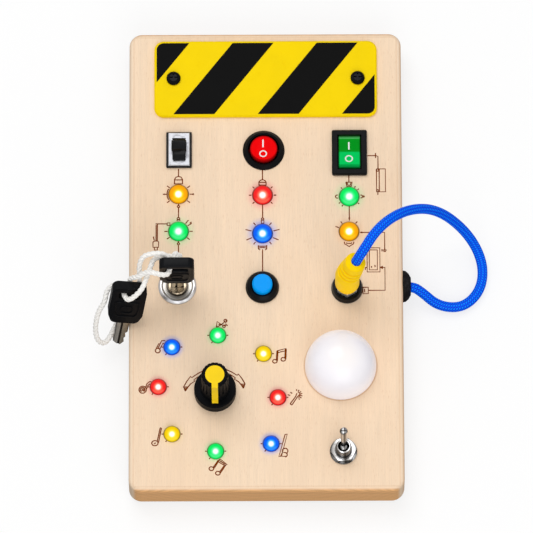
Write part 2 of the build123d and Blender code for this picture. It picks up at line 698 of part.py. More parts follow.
def terminals(at, half_span):
    """Flat terminals under a switch body, side by side along Y."""
    with BuildSketch(place(at, SWITCH_BOTTOM)) as drawn:
        with Locations((0, -half_span), (0, 0), (0, half_span)):
            Rectangle(TERMINAL[0], TERMINAL[1])
    extrude(drawn.sketch, amount=-TERMINAL[2])


with BuildPart() as red_switch_housing:
    turned(
        [
            (0, SWITCH_BOTTOM - TOP), (RED_NECK_R, SWITCH_BOTTOM - TOP), (RED_NECK_R, 0), (RED_BEZEL_R, 0),
            (RED_BEZEL_R, 0.5), (RED_OPENING_R + 1.0, RED_BEZEL_H), (RED_OPENING_R, RED_BEZEL_H - 0.4),
            (RED_OPENING_R, ROCKER_FLOOR - TOP), (0, ROCKER_FLOOR - TOP),
        ],
        place(RED_AT, TOP),
    )
    terminals(RED_AT, 5.0)
    with Locations(Pos(RED_AT[0], RED_AT[1], ROCKER_PIVOT_Z)):
        Cylinder(ROCKER_PIN_R + RUN, 2 * RED_NECK_R - 0.6, rotation=(0, 90, 0), mode=Mode.SUBTRACT)
finish_part(red_switch_housing.part, "red_switch_housing")

red_pivot = Plane((RED_AT[0], RED_AT[1], ROCKER_PIVOT_Z)).rotated((-RED_TILT, 0, 0))
RED_RIDGE = RED_ROCKER_TOP + ROCKER_PIVOT_DROP
with BuildPart() as red_rocker:
    with BuildSketch(red_pivot.offset(-ROCKER_DEPTH)):
        Circle(RED_ROCKER_R)
    extrude(amount=ROCKER_DEPTH + RED_RIDGE)
    side = Plane(red_pivot.origin, x_dir=red_pivot.y_dir, z_dir=red_pivot.x_dir)
    with BuildSketch(side):
        with BuildLine():
            over = RED_RIDGE + 1.0
            ThreePointArc((-RED_ROCKER_R - 1, RED_RIDGE), (0, RED_RIDGE - PRESSED_DISH), (RED_ROCKER_R + 1, RED_RIDGE))
            Polyline((RED_ROCKER_R + 1, RED_RIDGE), (RED_ROCKER_R + 1, over), (-RED_ROCKER_R - 1, over),
                     (-RED_ROCKER_R - 1, RED_RIDGE))
        make_face()
    extrude(amount=RED_ROCKER_R + 1, both=True, mode=Mode.SUBTRACT)
    fillet(red_rocker.faces().sort_by(Axis(red_pivot.origin, red_pivot.z_dir))[-1].edges(), radius=0.6)
    with Locations(red_pivot.location):
        Cylinder(ROCKER_PIN_R, 2 * RED_NECK_R - 0.9, rotation=(0, 90, 0))
finish_part(red_rocker.part, "red_rocker")

with BuildPart() as green_switch_housing:
    with BuildSketch(place(GREEN_AT, TOP)):
        RectangleRounded(*GREEN_BEZEL, 1.0)
    extrude(amount=GREEN_BEZEL_H)
    chamfer(green_switch_housing.faces().sort_by(Axis.Z)[-1].edges(), length=0.6)
    with BuildSketch(place(GREEN_AT, TOP)):
        Rectangle(*GREEN_NECK)
    extrude(amount=-SWITCH_DEPTH)
    with BuildSketch(place(GREEN_AT, ROCKER_FLOOR - 0.5)):
        Rectangle(*GREEN_OPENING)
    extrude(amount=TOP + GREEN_BEZEL_H - ROCKER_FLOOR + 0.5, mode=Mode.SUBTRACT)
    terminals(GREEN_AT, 7.0)
    with Locations(Pos(GREEN_AT[0], GREEN_AT[1], ROCKER_PIVOT_Z)):
        Cylinder(ROCKER_PIN_R + RUN, GREEN_NECK[0] - 0.8, rotation=(0, 90, 0), mode=Mode.SUBTRACT)
finish_part(green_switch_housing.part, "green_switch_housing")

green_pivot = Plane((GREEN_AT[0], GREEN_AT[1], ROCKER_PIVOT_Z)).rotated((-GREEN_TILT, 0, 0))
GREEN_RIDGE = GREEN_ROCKER_TOP + ROCKER_PIVOT_DROP
GREEN_HALF = GREEN_ROCKER[1] / 2
with BuildPart() as green_rocker:
    side = Plane(green_pivot.origin, x_dir=green_pivot.y_dir, z_dir=green_pivot.x_dir)
    with BuildSketch(side):
        with BuildLine():
            ThreePointArc((-GREEN_HALF, GREEN_RIDGE), (0, GREEN_RIDGE - PRESSED_DISH), (GREEN_HALF, GREEN_RIDGE))
            Polyline((GREEN_HALF, GREEN_RIDGE), (GREEN_HALF, 0), (0.4 * GREEN_HALF, -ROCKER_DEPTH),
                     (-0.4 * GREEN_HALF, -ROCKER_DEPTH), (-GREEN_HALF, 0), (-GREEN_HALF, GREEN_RIDGE))
        make_face()
    extrude(amount=GREEN_ROCKER[0] / 2, both=True)
    fillet(green_rocker.edges().filter_by(GeomType.CIRCLE), radius=0.5)
    with Locations(green_pivot.location):
        Cylinder(ROCKER_PIN_R, GREEN_NECK[0] - 1.1, rotation=(0, 90, 0))
finish_part(green_rocker.part, "green_rocker")

# ================================================================ lamps on the panel
FLANGE_BOTTOM = UNDER - LED_FLANGE


def led_lens(at, radius, dome_h):
    """One round lamp: a domed body through the panel with a flange under it."""
    shoulder = TOP + LED_COLLAR_H
    sphere_r = (radius ** 2 + dome_h ** 2) / (2 * dome_h)
    centre = shoulder + dome_h - sphere_r
    half_turn = (radians(90) + atan2(shoulder - centre, radius)) / 2
    with BuildSketch(Plane((at[0], at[1], 0), x_dir=(1, 0, 0), z_dir=(0, -1, 0))) as drawn:
        with BuildLine():
            Polyline((0, shoulder + dome_h), (0, FLANGE_BOTTOM), (radius + LED_FLANGE, FLANGE_BOTTOM),
                     (radius + LED_FLANGE, UNDER), (radius, UNDER), (radius, shoulder))
            middle = (sphere_r * cos(half_turn), centre + sphere_r * sin(half_turn))
            ThreePointArc((radius, shoulder), middle, (0, shoulder + dome_h))
        make_face()
    revolve(drawn.sketch, axis=Axis((at[0], at[1], 0), (0, 0, 1)))


LAMPS = {
    "amber_leds": (AMBER_AT, []),
    "green_leds": (GREEN_LED_AT, RING_GREEN_AT),
    "red_leds": (RED_LED_AT, RING_RED_AT),
    "blue_leds": (BLUE_LED_AT, RING_BLUE_AT),
    "yellow_leds": ([], RING_YELLOW_AT),
}
for lamp_name, (big_places, ring_places) in LAMPS.items():
    with BuildPart() as lamp:
        for at in big_places:
            led_lens(at, BIG_LED_R, BIG_LED_DOME_H)
        for at in ring_places:
            led_lens(at, RING_LED_R, RING_LED_DOME_H)
    finish_part(lamp.part, lamp_name)

LEADS = [(at[0] + side * LEAD_SPREAD, at[1]) for at in BIG_LEDS + RING_LEDS for side in (-1, 1)]
with BuildPart() as led_leads:
    with BuildSketch(Plane.XY.offset(FLANGE_BOTTOM)):
        with Locations(*LEADS):
            Circle(LEAD_R)
    extrude(amount=-(FLANGE_BOTTOM - PCB_BOTTOM + LEAD_STICK_OUT))
finish_part(led_leads.part, "led_leads")

# ================================================================ circuit boards


def board_holes(pillars, leads):
    """Screw and lead holes through the board being made."""
    with BuildSketch(Plane.XY.offset(PCB_TOP)) as drawn:
        with Locations(*pillars):
            Circle(BOARD_SCREW_R + SLIP)
        if leads:
            with Locations(*leads):
                Circle(LEAD_R + SLIP)
    extrude(drawn.sketch, amount=-PCB_T, mode=Mode.SUBTRACT)


UPPER_LEADS = LEADS[:2 * len(BIG_LEDS)]
RING_LEADS = LEADS[2 * len(BIG_LEDS):]

with BuildPart() as upper_board:
    with BuildSketch(place(UPPER_BOARD_AT, PCB_TOP)):
        RectangleRounded(*UPPER_BOARD, 2.0)
    extrude(amount=-PCB_T)
    board_holes(UPPER_PILLARS, UPPER_LEADS)
finish_part(upper_board.part, "upper_board")

with BuildPart() as ring_board:
    with BuildSketch(place(RING_BOARD_AT, PCB_TOP)) as ring_outline:
        Rectangle(*RING_BOARD)
        chamfer(ring_outline.vertices(), length=RING_BOARD_CUT)
    extrude(amount=-PCB_T)
    with BuildSketch(place(KNOB_AT, PCB_TOP)):
        Circle(SELECTOR_R + 2 * GAP)
    extrude(amount=-PCB_T, mode=Mode.SUBTRACT)
    board_holes(RING_PILLARS, RING_LEADS)
finish_part(ring_board.part, "ring_board")

with BuildPart() as main_board:
    with BuildSketch(place(MAIN_BOARD_AT, PCB_TOP)):
        RectangleRounded(*MAIN_BOARD, 2.0)
    extrude(amount=-PCB_T)
    board_holes(MAIN_PILLARS, [])
finish_part(main_board.part, "main_board")

with BuildPart() as board_chips:
    with BuildSketch(place(MAIN_BOARD_AT, PCB_BOTTOM)):
        with Locations((-6, 6)):
            Rectangle(9.9, 3.9)
        with Locations((8, 4)):
            Rectangle(4.9, 3.9)
    extrude(amount=-1.5)
    with BuildSketch(place(MAIN_BOARD_AT, PCB_BOTTOM)):
        with Locations((-8, -8), (0, -8)):
            Circle(2.5)
    extrude(amount=-5.0)
finish_part(board_chips.part, "board_chips")

with BuildPart() as board_screws:
    for at in PILLARS:
        screw(place(at, PCB_BOTTOM), BOARD_SCREW_HEAD_R, BOARD_SCREW_HEAD_H, BOARD_SCREW_R,
              BOARD_SCREW_LENGTH, flat_head=False)
finish_part(board_screws.part, "board_screws")

# ================================================================ key lock
RING_TOP = TOP + LOCK_RING_H
DISH_FLOOR = RING_TOP - LOCK_DISH_DEPTH
BARREL_TOP = DISH_FLOOR + BARREL_PROUD
KEYWAY = (BLADE_W + 2 * SLIP, BLADE_T + 2 * SLIP)
CAM_TOP = LOCK_BOTTOM - GAP

with BuildPart() as lock_body:
    turned(
        [
            (BARREL_R + RUN, LOCK_BOTTOM - TOP), (LOCK_NECK_R, LOCK_BOTTOM - TOP), (LOCK_NECK_R, 0),
            (LOCK_RING_R, 0), (LOCK_RING_R, LOCK_RING_H - 1.1), (LOCK_RING_R - 1.1, LOCK_RING_H),
            (LOCK_DISH_R, LOCK_RING_H), (LOCK_DISH_R - 0.9, DISH_FLOOR - TOP), (BARREL_R + RUN, DISH_FLOOR - TOP),
        ],
        place(LOCK_AT, TOP),
    )
finish_part(lock_body.part, "lock_body")

with BuildPart() as lock_barrel:
    with BuildSketch(place(LOCK_AT, LOCK_BOTTOM)):
        Circle(BARREL_R)
    extrude(amount=BARREL_TOP - LOCK_BOTTOM)
    chamfer(lock_barrel.faces().sort_by(Axis.Z)[-1].edges(), length=0.4)
    with BuildSketch(place(LOCK_AT, LOCK_BOTTOM)):
        Circle(CAM_STUB_R)
    extrude(amount=-(GAP + CAM[2]))
    with BuildSketch(place(LOCK_AT, BARREL_TOP)):
        Rectangle(*KEYWAY)
    extrude(amount=-KEYWAY_DEPTH, mode=Mode.SUBTRACT)
finish_part(lock_barrel.part, "lock_barrel")

with BuildPart() as lock_cam:
    with BuildSketch(place(LOCK_AT, CAM_TOP)):
        with Locations((0, CAM[1] / 2 - CAM[0] / 2)):
            RectangleRounded(CAM[0], CAM[1], 0.45 * CAM[0])
        Circle(CAM_STUB_R + RUN, mode=Mode.SUBTRACT)
    extrude(amount=-CAM[2])
finish_part(lock_cam.part, "lock_cam")

# ================================================================ keys
# A key's own plane: origin at the middle of its shoulder, X across, Y up through the head,
# the normal through its thickness.
KEY_PLANE = Plane((LOCK_AT[0], LOCK_AT[1], RING_TOP + KEY_NECK), x_dir=(1, 0, 0), z_dir=(0, -1, 0))
SPARE_PLANE = Plane(SPARE_AT, x_dir=SPARE_ACROSS, z_dir=SPARE_FACING)


def key_head(plane):
    """The plastic head of a key, with its cord slot and the pocket for the blade."""
    with BuildSketch(plane) as drawn:
        with BuildLine():
            half, low = KEY_W / 2, KEY_SHOULDER_W / 2
            Polyline((-low, 0), (low, 0), (half, KEY_SHOULDER_H), (half, KEY_H), (-half, KEY_H),
                     (-half, KEY_SHOULDER_H), close=True)
        outline = make_face()
        fillet(outline.vertices(), radius=KEY_ROUND)
        with Locations((0, KEY_H - KEY_SLOT_FROM_TOP)):
            RectangleRounded(*KEY_SLOT, 1.2, mode=Mode.SUBTRACT)
    extrude(drawn.sketch, amount=KEY_T / 2, both=True)
    with BuildSketch(plane) as drawn:
        with Locations((0, BLADE_ROOT / 2)):
            Rectangle(BLADE_W + 2 * RUN, BLADE_ROOT)
    extrude(drawn.sketch, amount=BLADE_T / 2 + RUN, both=True, mode=Mode.SUBTRACT)


def key_blade_on(plane):
    """The metal blade, with its long groove and three bit cuts."""
    half = BLADE_W / 2
    with BuildSketch(plane) as drawn:
        with BuildLine():
            Polyline((-half, BLADE_ROOT), (-half, -BLADE_L + 2.5), (-0.8, -BLADE_L), (0.8, -BLADE_L),
                     (half - 1.0, -BLADE_L + 2.5), (half - 1.6, -BLADE_L + 5), (half - 0.7, -BLADE_L + 6.5),
                     (half - 1.8, -BLADE_L + 8.5), (half, -BLADE_L + 10.5), (half, BLADE_ROOT), close=True)
        make_face()
    extrude(drawn.sketch, amount=BLADE_T / 2, both=True)
    with BuildSketch(plane.offset(BLADE_T / 2)) as drawn:
        with Locations((-0.6, -BLADE_L / 2)):
            Rectangle(1.2, BLADE_L + 2)
    extrude(drawn.sketch, amount=-0.5, mode=Mode.SUBTRACT)


with BuildPart() as key_bow:
    key_head(KEY_PLANE)
finish_part(key_bow.part, "key_bow")

with BuildPart() as key_blade:
    key_blade_on(KEY_PLANE)
finish_part(key_blade.part, "key_blade")

with BuildPart() as spare_key_bow:
    key_head(SPARE_PLANE)
finish_part(spare_key_bow.part, "spare_key_bow")

with BuildPart() as spare_key_blade:
    key_blade_on(SPARE_PLANE)
finish_part(spare_key_blade.part, "spare_key_blade")

cord("key_cord", KEY_CORD_ROUTE, KEY_CORD_R)


def knot(end, before):
    """A round knot on a cord's end, flat where the cord meets it."""
    outward = Plane(end, z_dir=Vector(*end) - Vector(*before))
    section = Plane(outward.origin, x_dir=outward.x_dir, z_dir=-outward.y_dir)
    with BuildSketch(section) as drawn:
        with BuildLine():
            Line((0, 0), (0.6 * KNOT_R, 0))
            ThreePointArc((0.6 * KNOT_R, 0), (KNOT_R, 0.8 * KNOT_R), (0, 1.8 * KNOT_R))
            Line((0, 1.8 * KNOT_R), (0, 0))
        make_face()
    revolve(drawn.sketch, axis=Axis(outward.origin, outward.z_dir))


with BuildPart() as cord_knots:
    knot(KEY_CORD_ROUTE[0], KEY_CORD_ROUTE[1])
    knot(KEY_CORD_ROUTE[-1], KEY_CORD_ROUTE[-2])
finish_part(cord_knots.part, "cord_knots")

# ================================================================ push button
BUTTON_BOTTOM = UNDER - 10.5
BUTTON_BORE_R = BUTTON_R + BUTTON_COLLAR + RUN
BUTTON_LEDGE = TOP - 1.0               # the cap's collar stops under this ledge
BUTTON_CAP_BOTTOM = TOP + BUTTON_TOP - BUTTON_CAP_LENGTH - BUTTON_COLLAR
BUTTON_FLOOR_Z = BUTTON_BOTTOM + BUTTON_FLOOR

with BuildPart() as button_housing:
    turned(
        [
            (0, BUTTON_BOTTOM - TOP), (BUTTON_NECK_R, BUTTON_BOTTOM - TOP), (BUTTON_NECK_R, 0),
            (BUTTON_BEZEL_R, 0), (BUTTON_BEZEL_R, 1.0), (BUTTON_BEZEL_R - 0.8, 2.6),
            (BUTTON_R + 1.1, BUTTON_BEZEL_H), (BUTTON_R + RUN, BUTTON_BEZEL_H - 0.6),
            (BUTTON_R + RUN, BUTTON_LEDGE - TOP), (BUTTON_BORE_R, BUTTON_LEDGE - TOP),
            (BUTTON_BORE_R, BUTTON_FLOOR_Z - TOP), (0, BUTTON_FLOOR_Z - TOP),
        ],
        place(BUTTON_AT, TOP),
    )
finish_part(button_housing.part, "button_housing")

CAP_COLLAR_TOP = BUTTON_LEDGE - 0.05
CAP_COLLAR_BOTTOM = CAP_COLLAR_TOP - 1.2
with BuildPart() as button_cap:
    turned(
        [
            (0, CAP_COLLAR_BOTTOM - TOP), (BUTTON_R + BUTTON_COLLAR, CAP_COLLAR_BOTTOM - TOP),
            (BUTTON_R + BUTTON_COLLAR, CAP_COLLAR_TOP - TOP), (BUTTON_R, CAP_COLLAR_TOP - TOP),
            (BUTTON_R, BUTTON_TOP - 0.8), (BUTTON_R - 0.8, BUTTON_TOP), (0, BUTTON_TOP),
        ],
        place(BUTTON_AT, TOP),
    )
finish_part(button_cap.part, "button_cap")

BUTTON_SPRING_H = CAP_COLLAR_BOTTOM - BUTTON_FLOOR_Z - 2 * SPRING_WIRE_R - 0.04


def coil_spring(plane, radius, wire_r, height, turns):
    """An open coil standing on the plane."""
    with BuildLine(plane) as coil:
        Helix(pitch=height / turns, height=height, radius=radius)
    start = Plane(coil.line @ 0, z_dir=coil.line % 0)
    with BuildSketch(start) as drawn:
        Circle(wire_r)
    sweep(drawn.sketch, path=coil.line, is_frenet=True)


with BuildPart() as button_spring:
    coil_spring(place(BUTTON_AT, BUTTON_FLOOR_Z + SPRING_WIRE_R + 0.02), 3.6, SPRING_WIRE_R, BUTTON_SPRING_H, 4)
finish_part(button_spring.part, "button_spring")

# ================================================================ jack socket and plug
DISH_Z = TOP + SOCKET_H - SOCKET_DISH_DEPTH
COLLAR_Z = DISH_Z + 0.2
PIN_BOTTOM = COLLAR_Z - PIN_LENGTH
SOCKET_BORE_BOTTOM = PIN_BOTTOM - 0.5
SOCKET_BOTTOM = SOCKET_BORE_BOTTOM - 1.2

with BuildPart() as jack_socket:
    turned(
        [
            (0, SOCKET_BOTTOM - TOP), (SOCKET_NECK_R, SOCKET_BOTTOM - TOP), (SOCKET_NECK_R, 0), (SOCKET_R, 0),
            (SOCKET_R, 1.0), (SOCKET_TOP_R, SOCKET_H), (SOCKET_DISH_R, SOCKET_H),
            (SOCKET_DISH_R, DISH_Z - TOP), (PIN_R + RUN, DISH_Z - TOP), (PIN_R + RUN, SOCKET_BORE_BOTTOM - TOP),
            (0, SOCKET_BORE_BOTTOM - TOP),
        ],
        place(SOCKET_AT, TOP),
    )
finish_part(jack_socket.part, "jack_socket")

with BuildPart() as plug_pin:
    turned(
        [
            (0, 0), (PIN_R, 0), (PIN_R, -PIN_LENGTH + 4.4), (PIN_R - 0.6, -PIN_LENGTH + 3.9),
            (PIN_R - 0.6, -PIN_LENGTH + 3.2), (PIN_R, -PIN_LENGTH + 2.2), (PIN_R - 0.8, -PIN_LENGTH + 0.9),
            (PIN_R - 2.0, -PIN_LENGTH), (0, -PIN_LENGTH),
        ],
        place(SOCKET_AT, COLLAR_Z),
    )
finish_part(plug_pin.part, "plug_pin")

with BuildPart() as plug_collar:
    hex_nut(place(SOCKET_AT, COLLAR_Z), COLLAR_FLATS, COLLAR_H, 0.6, turn=30)
finish_part(plug_collar.part, "plug_collar")

BOOT_BOTTOM = COLLAR_Z + COLLAR_H
elbow = Vector(SOCKET_AT[0], SOCKET_AT[1], TOP + BOOT_ELBOW)
lean = Vector(*BOOT_LEAN)
boot_plane = Plane(elbow, x_dir=(1, 0, 0), z_dir=lean)
BOOT_UPPER = lean.length
RIB_PITCH = 0.17 * BOOT_UPPER
with BuildPart() as plug_boot:
    turned(
        [
            (0, 0), (BOOT_END_R, 0), (BOOT_R, BOOT_TAPER), (BOOT_R, elbow.Z - BOOT_BOTTOM),
            (0, elbow.Z - BOOT_BOTTOM),
        ],
        place(SOCKET_AT, BOOT_BOTTOM),
    )
    with Locations(Pos(*elbow)):
        Sphere(BOOT_R)
    neck_z = 0.25 * BOOT_UPPER
    rib_points = [(0, 0), (BOOT_R, 0), (BOOT_R, neck_z)]
    for rib in range(BOOT_RIBS):
        low = neck_z + rib * RIB_PITCH
        rim = BOOT_R - 0.25 * rib
        rib_points += [(rim - 0.55, low + 0.2 * RIB_PITCH), (rim - 0.55, low + 0.4 * RIB_PITCH),
                       (rim - 0.1, low + 0.6 * RIB_PITCH), (rim - 0.2, low + RIB_PITCH)]
    rib_points += [(BOOT_MOUTH_R + 0.7, BOOT_UPPER - 1.4), (BOOT_MOUTH_R - 0.6, BOOT_UPPER), (0, BOOT_UPPER)]
    turned(rib_points, boot_plane)
    with BuildSketch(boot_plane.offset(BOOT_UPPER)):
        Circle(CABLE_R + SLIP)
    extrude(amount=-(CABLE_IN_BOOT + SLIP), mode=Mode.SUBTRACT)
finish_part(plug_boot.part, "plug_boot")

cord("patch_cable", CABLE_ROUTE, CABLE_R)

with BuildPart() as cable_grommet:
    mouth = Plane((WALL_FACE, GROMMET_Y, GROMMET_Z), x_dir=(0, 1, 0), z_dir=(1, 0, 0))
    turned(
        [
            (0, -WALL - GROMMET_LIP_T), (GROMMET_LIP_R - 0.5, -WALL - GROMMET_LIP_T), (GROMMET_LIP_R, -WALL),
            (GROMMET_NECK_R, -WALL), (GROMMET_NECK_R, 0), (GROMMET_R, 0), (GROMMET_R - 0.3, 1.6),
            (GROMMET_R - 1.7, 3.2), (GROMMET_R - 4.0, GROMMET_PROUD), (0, GROMMET_PROUD),
        ],
        mouth,
    )
    with BuildSketch(mouth.offset(GROMMET_PROUD)):
        Circle(CABLE_R + SLIP)
    extrude(amount=-(GROMMET_PROUD + CABLE_IN_GROMMET), mode=Mode.SUBTRACT)
finish_part(cable_grommet.part, "cable_grommet")

# ================================================================ selector switch and knob
SELECTOR_BOTTOM = UNDER - SELECTOR_DEPTH
NUT_TOP = TOP + SELECTOR_NUT_H
KNOB_BOTTOM = TOP + KNOB_LIFT
KNOB_TOP = TOP + KNOB_H
SHAFT_TOP = NUT_TOP + 1.0 + SHAFT_IN_KNOB
KNOB_RECESS_R = SELECTOR_NUT_FLATS / sqrt(3) + 2 * GAP
KNOB_RECESS_TOP = NUT_TOP + 1.0

with BuildPart() as selector_switch:
    turned(
        [
            (SHAFT_R + RUN, SELECTOR_BOTTOM + 1.0), (SELECTOR_R, SELECTOR_BOTTOM + 1.0), (SELECTOR_R, UNDER),
            (SELECTOR_BUSH_R, UNDER), (SELECTOR_BUSH_R, NUT_TOP + 0.5), (SHAFT_R + RUN, NUT_TOP + 0.5),
        ],
        place(KNOB_AT, 0),
    )
finish_part(selector_switch.part, "selector_switch")

with BuildPart() as panel_nuts:
    hex_nut(place(LOCK_AT, UNDER - LOCK_NUT_H), LOCK_NUT_FLATS, LOCK_NUT_H, LOCK_NECK_R + RUN)
    hex_nut(place(SOCKET_AT, UNDER - SOCKET_NUT_H), SOCKET_NUT_FLATS, SOCKET_NUT_H, SOCKET_NECK_R + RUN)
    hex_nut(place(KNOB_AT, TOP), SELECTOR_NUT_FLATS, SELECTOR_NUT_H, SELECTOR_BUSH_R + RUN)
finish_part(panel_nuts.part, "panel_nuts")

with BuildPart() as selector_shaft:
    with BuildSketch(place(KNOB_AT, SELECTOR_BOTTOM)):
        Circle(SHAFT_R)
    extrude(amount=SHAFT_TOP - SELECTOR_BOTTOM)
    chamfer(selector_shaft.faces().sort_by(Axis.Z)[-1].edges(), length=0.5)
    with BuildSketch(place(KNOB_AT, SELECTOR_BOTTOM)):
        Circle(SHAFT_R + 2.5)
    extrude(amount=0.8)
finish_part(selector_shaft.part, "selector_shaft")

POINTER_LOW = KNOB_BOTTOM + KNOB_SKIRT_H
POINTER_REACH = KNOB_SKIRT_R - 2.5


def pointer_shape():
    """The yellow cap and its pointer: a disc, and a bar over the top, down the front and out."""
    with BuildSketch(place(KNOB_AT, KNOB_TOP - POINTER_T)) as drawn:
        Circle(KNOB_CAP_R)
        with Locations((0, -POINTER_REACH / 2)):
            Rectangle(POINTER_W, POINTER_REACH)
    extrude(drawn.sketch, amount=POINTER_T)
    front = Plane((KNOB_AT[0], KNOB_AT[1], 0), x_dir=(0, -1, 0), z_dir=(-1, 0, 0))
    with BuildSketch(front) as drawn:
        with BuildLine():
            Polyline((KNOB_R_HIGH - POINTER_T, KNOB_TOP), (KNOB_R_HIGH + 0.4, KNOB_TOP),
                     (KNOB_R_LOW + 0.4, POINTER_LOW + POINTER_T), (POINTER_REACH, POINTER_LOW + 0.5),
                     (POINTER_REACH, POINTER_LOW), (KNOB_R_LOW - POINTER_T, POINTER_LOW), close=True)
        make_face()
    extrude(drawn.sketch, amount=POINTER_W / 2, both=True)
    with BuildSketch(place(KNOB_AT, KNOB_TOP - POINTER_T)) as drawn:
        with Locations((0, -POINTER_REACH)):
            Rectangle(POINTER_W, 2 * (POINTER_REACH - KNOB_R_HIGH - 0.4))
    extrude(drawn.sketch, amount=POINTER_T, mode=Mode.SUBTRACT)


with BuildPart() as knob_cap:
    pointer_shape()
finish_part(knob_cap.part, "knob_cap")

with BuildPart() as knob_body:
    turned(
        [
            (0, KNOB_BOTTOM), (KNOB_SKIRT_R, KNOB_BOTTOM), (KNOB_SKIRT_R, POINTER_LOW - 0.9),
            (KNOB_SKIRT_R - 0.7, POINTER_LOW), (KNOB_R_LOW, POINTER_LOW), (KNOB_R_HIGH, KNOB_TOP - 1.0),
            (KNOB_R_HIGH - 1.0, KNOB_TOP), (0, KNOB_TOP),
        ],
        place(KNOB_AT, 0),
    )
    with BuildSketch(place(KNOB_AT, KNOB_TOP)):
        with PolarLocations(KNOB_R_HIGH + 0.15, KNOB_FLUTES):
            Circle(KNOB_FLUTE_R)
    extrude(amount=-KNOB_GRIP, mode=Mode.SUBTRACT)
    with BuildSketch(place(KNOB_AT, KNOB_BOTTOM)):
        Circle(KNOB_RECESS_R)
    extrude(amount=KNOB_RECESS_TOP - KNOB_BOTTOM, mode=Mode.SUBTRACT)
    with BuildSketch(place(KNOB_AT, KNOB_RECESS_TOP)):
        Circle(SHAFT_R + RUN)
    extrude(amount=SHAFT_TOP - KNOB_RECESS_TOP + 0.2, mode=Mode.SUBTRACT)
    add(knob_cap.part, mode=Mode.SUBTRACT)
finish_part(knob_body.part, "knob_body")

# ================================================================ dome lamp
DOME_NECK_BOTTOM = UNDER - 0.5
with BuildPart() as dome_lens:
    with BuildSketch(Plane((DOME_AT[0], DOME_AT[1], TOP), x_dir=(1, 0, 0), z_dir=(0, -1, 0))):
        with BuildLine():
            outer, inner = DOME_R, DOME_NECK_R - DOME_WALL
            rise = DOME_FLANGE
            CenterArc((0, rise), outer, 0, 90)
            Line((0, outer + rise), (0, inner + rise))
            CenterArc((0, rise), inner, 0, 90)
            Polyline((inner, rise), (inner, DOME_NECK_BOTTOM - TOP), (DOME_NECK_R, DOME_NECK_BOTTOM - TOP),
                     (DOME_NECK_R, 0), (outer, 0), (outer, rise))
        make_face()
    revolve(axis=Axis((DOME_AT[0], DOME_AT[1], 0), (0, 0, 1)))
finish_part(dome_lens.part, "dome_lens")

with BuildPart() as lamp_led:
    with BuildSketch(place(DOME_AT, PCB_TOP)):
        Circle(LAMP_LED_R + 0.5)
    extrude(amount=1.0)
    with BuildSketch(place(DOME_AT, PCB_TOP)):
        Circle(LAMP_LED_R)
    extrude(amount=LAMP_LED_H)
    fillet(lamp_led.faces().sort_by(Axis.Z)[-1].edges(), radius=0.8 * LAMP_LED_R)
finish_part(lamp_led.part, "lamp_led")

# ================================================================ toggle switch
TOGGLE_PIVOT_Z = TOP + TOGGLE_PIVOT
TOGGLE_BALL_R = TOGGLE_BORE_R - RUN
TOGGLE_SEAT_Z = TOP + TOGGLE_WASHER_T
BALL_POCKET = TOGGLE_PIVOT_Z - TOGGLE_BALL_R - GAP

with BuildPart() as toggle_body:
    with BuildSketch(place(TOGGLE_AT, UNDER)):
        Rectangle(TOGGLE_BODY[0], TOGGLE_BODY[1])
    extrude(amount=-TOGGLE_BODY[2])
    with BuildSketch(place(TOGGLE_AT, UNDER)):
        Circle(TOGGLE_BUSH_R)
    extrude(amount=PANEL_T + TOGGLE_BUSH_H)
    chamfer(toggle_body.faces().sort_by(Axis.Z)[-1].edges(), length=0.4)
    with BuildSketch(place(TOGGLE_AT, BALL_POCKET)):
        Circle(TOGGLE_BORE_R)
    extrude(amount=TOP + TOGGLE_BUSH_H - BALL_POCKET, mode=Mode.SUBTRACT)
    with Locations(Pos(TOGGLE_AT[0], TOGGLE_AT[1], TOGGLE_PIVOT_Z)):
        Cylinder(TOGGLE_PIN_R + RUN, 2 * TOGGLE_PIN_REACH + 0.2, rotation=(0, 90, 0), mode=Mode.SUBTRACT)
    with BuildSketch(place(TOGGLE_AT, UNDER - TOGGLE_BODY[2])):
        with Locations((0, -4.0), (0, 0), (0, 4.0)):
            Rectangle(2.0, 0.8)
    extrude(amount=-2.5)
finish_part(toggle_body.part, "toggle_body")

with BuildPart() as toggle_nut:
    with BuildSketch(place(TOGGLE_AT, TOP)):
        Circle(TOGGLE_WASHER_R)
        Circle(TOGGLE_BUSH_R + RUN, mode=Mode.SUBTRACT)
    extrude(amount=TOGGLE_WASHER_T)
    hex_nut(place(TOGGLE_AT, TOGGLE_SEAT_Z), TOGGLE_NUT_FLATS, TOGGLE_NUT_H, TOGGLE_BUSH_R + RUN, turn=5)
finish_part(toggle_nut.part, "toggle_nut")

toggle_plane = Plane((TOGGLE_AT[0], TOGGLE_AT[1], TOGGLE_PIVOT_Z)).rotated((-TOGGLE_TILT, 0, 0))
with BuildPart() as toggle_lever:
    with Locations(toggle_plane.location):
        Sphere(TOGGLE_BALL_R)
        Cylinder(TOGGLE_PIN_R, 2 * TOGGLE_PIN_REACH, rotation=(0, 90, 0))
    turned(
        [
            (0, 0), (1.35, 0), (1.35, 4.0), (1.8, TOGGLE_LEVER - 1.0), (0, TOGGLE_LEVER),
        ],
        toggle_plane,
    )
    with Locations(toggle_plane.offset(TOGGLE_LEVER).location):
        Sphere(TOGGLE_TIP_R)
finish_part(toggle_lever.part, "toggle_lever")

# ================================================================ speaker
with BuildPart() as speaker:
    turned(
        [
            (0, 1.5), (SPEAKER_R - 13.0, 1.5), (SPEAKER_R - 4.0, 0.5), (SPEAKER_R - 2.0, 0.5),
            (SPEAKER_R - 1.2, 0), (SPEAKER_R, 0), (SPEAKER_R, 2.0), (SPEAKER_R / 2 + 1.0, 4.5),
            (SPEAKER_R / 2, 4.5), (SPEAKER_R / 2, SPEAKER_H), (0, SPEAKER_H),
        ],
        place(SPEAKER_AT, COVER_TOP),
    )
finish_part(speaker.part, "speaker")

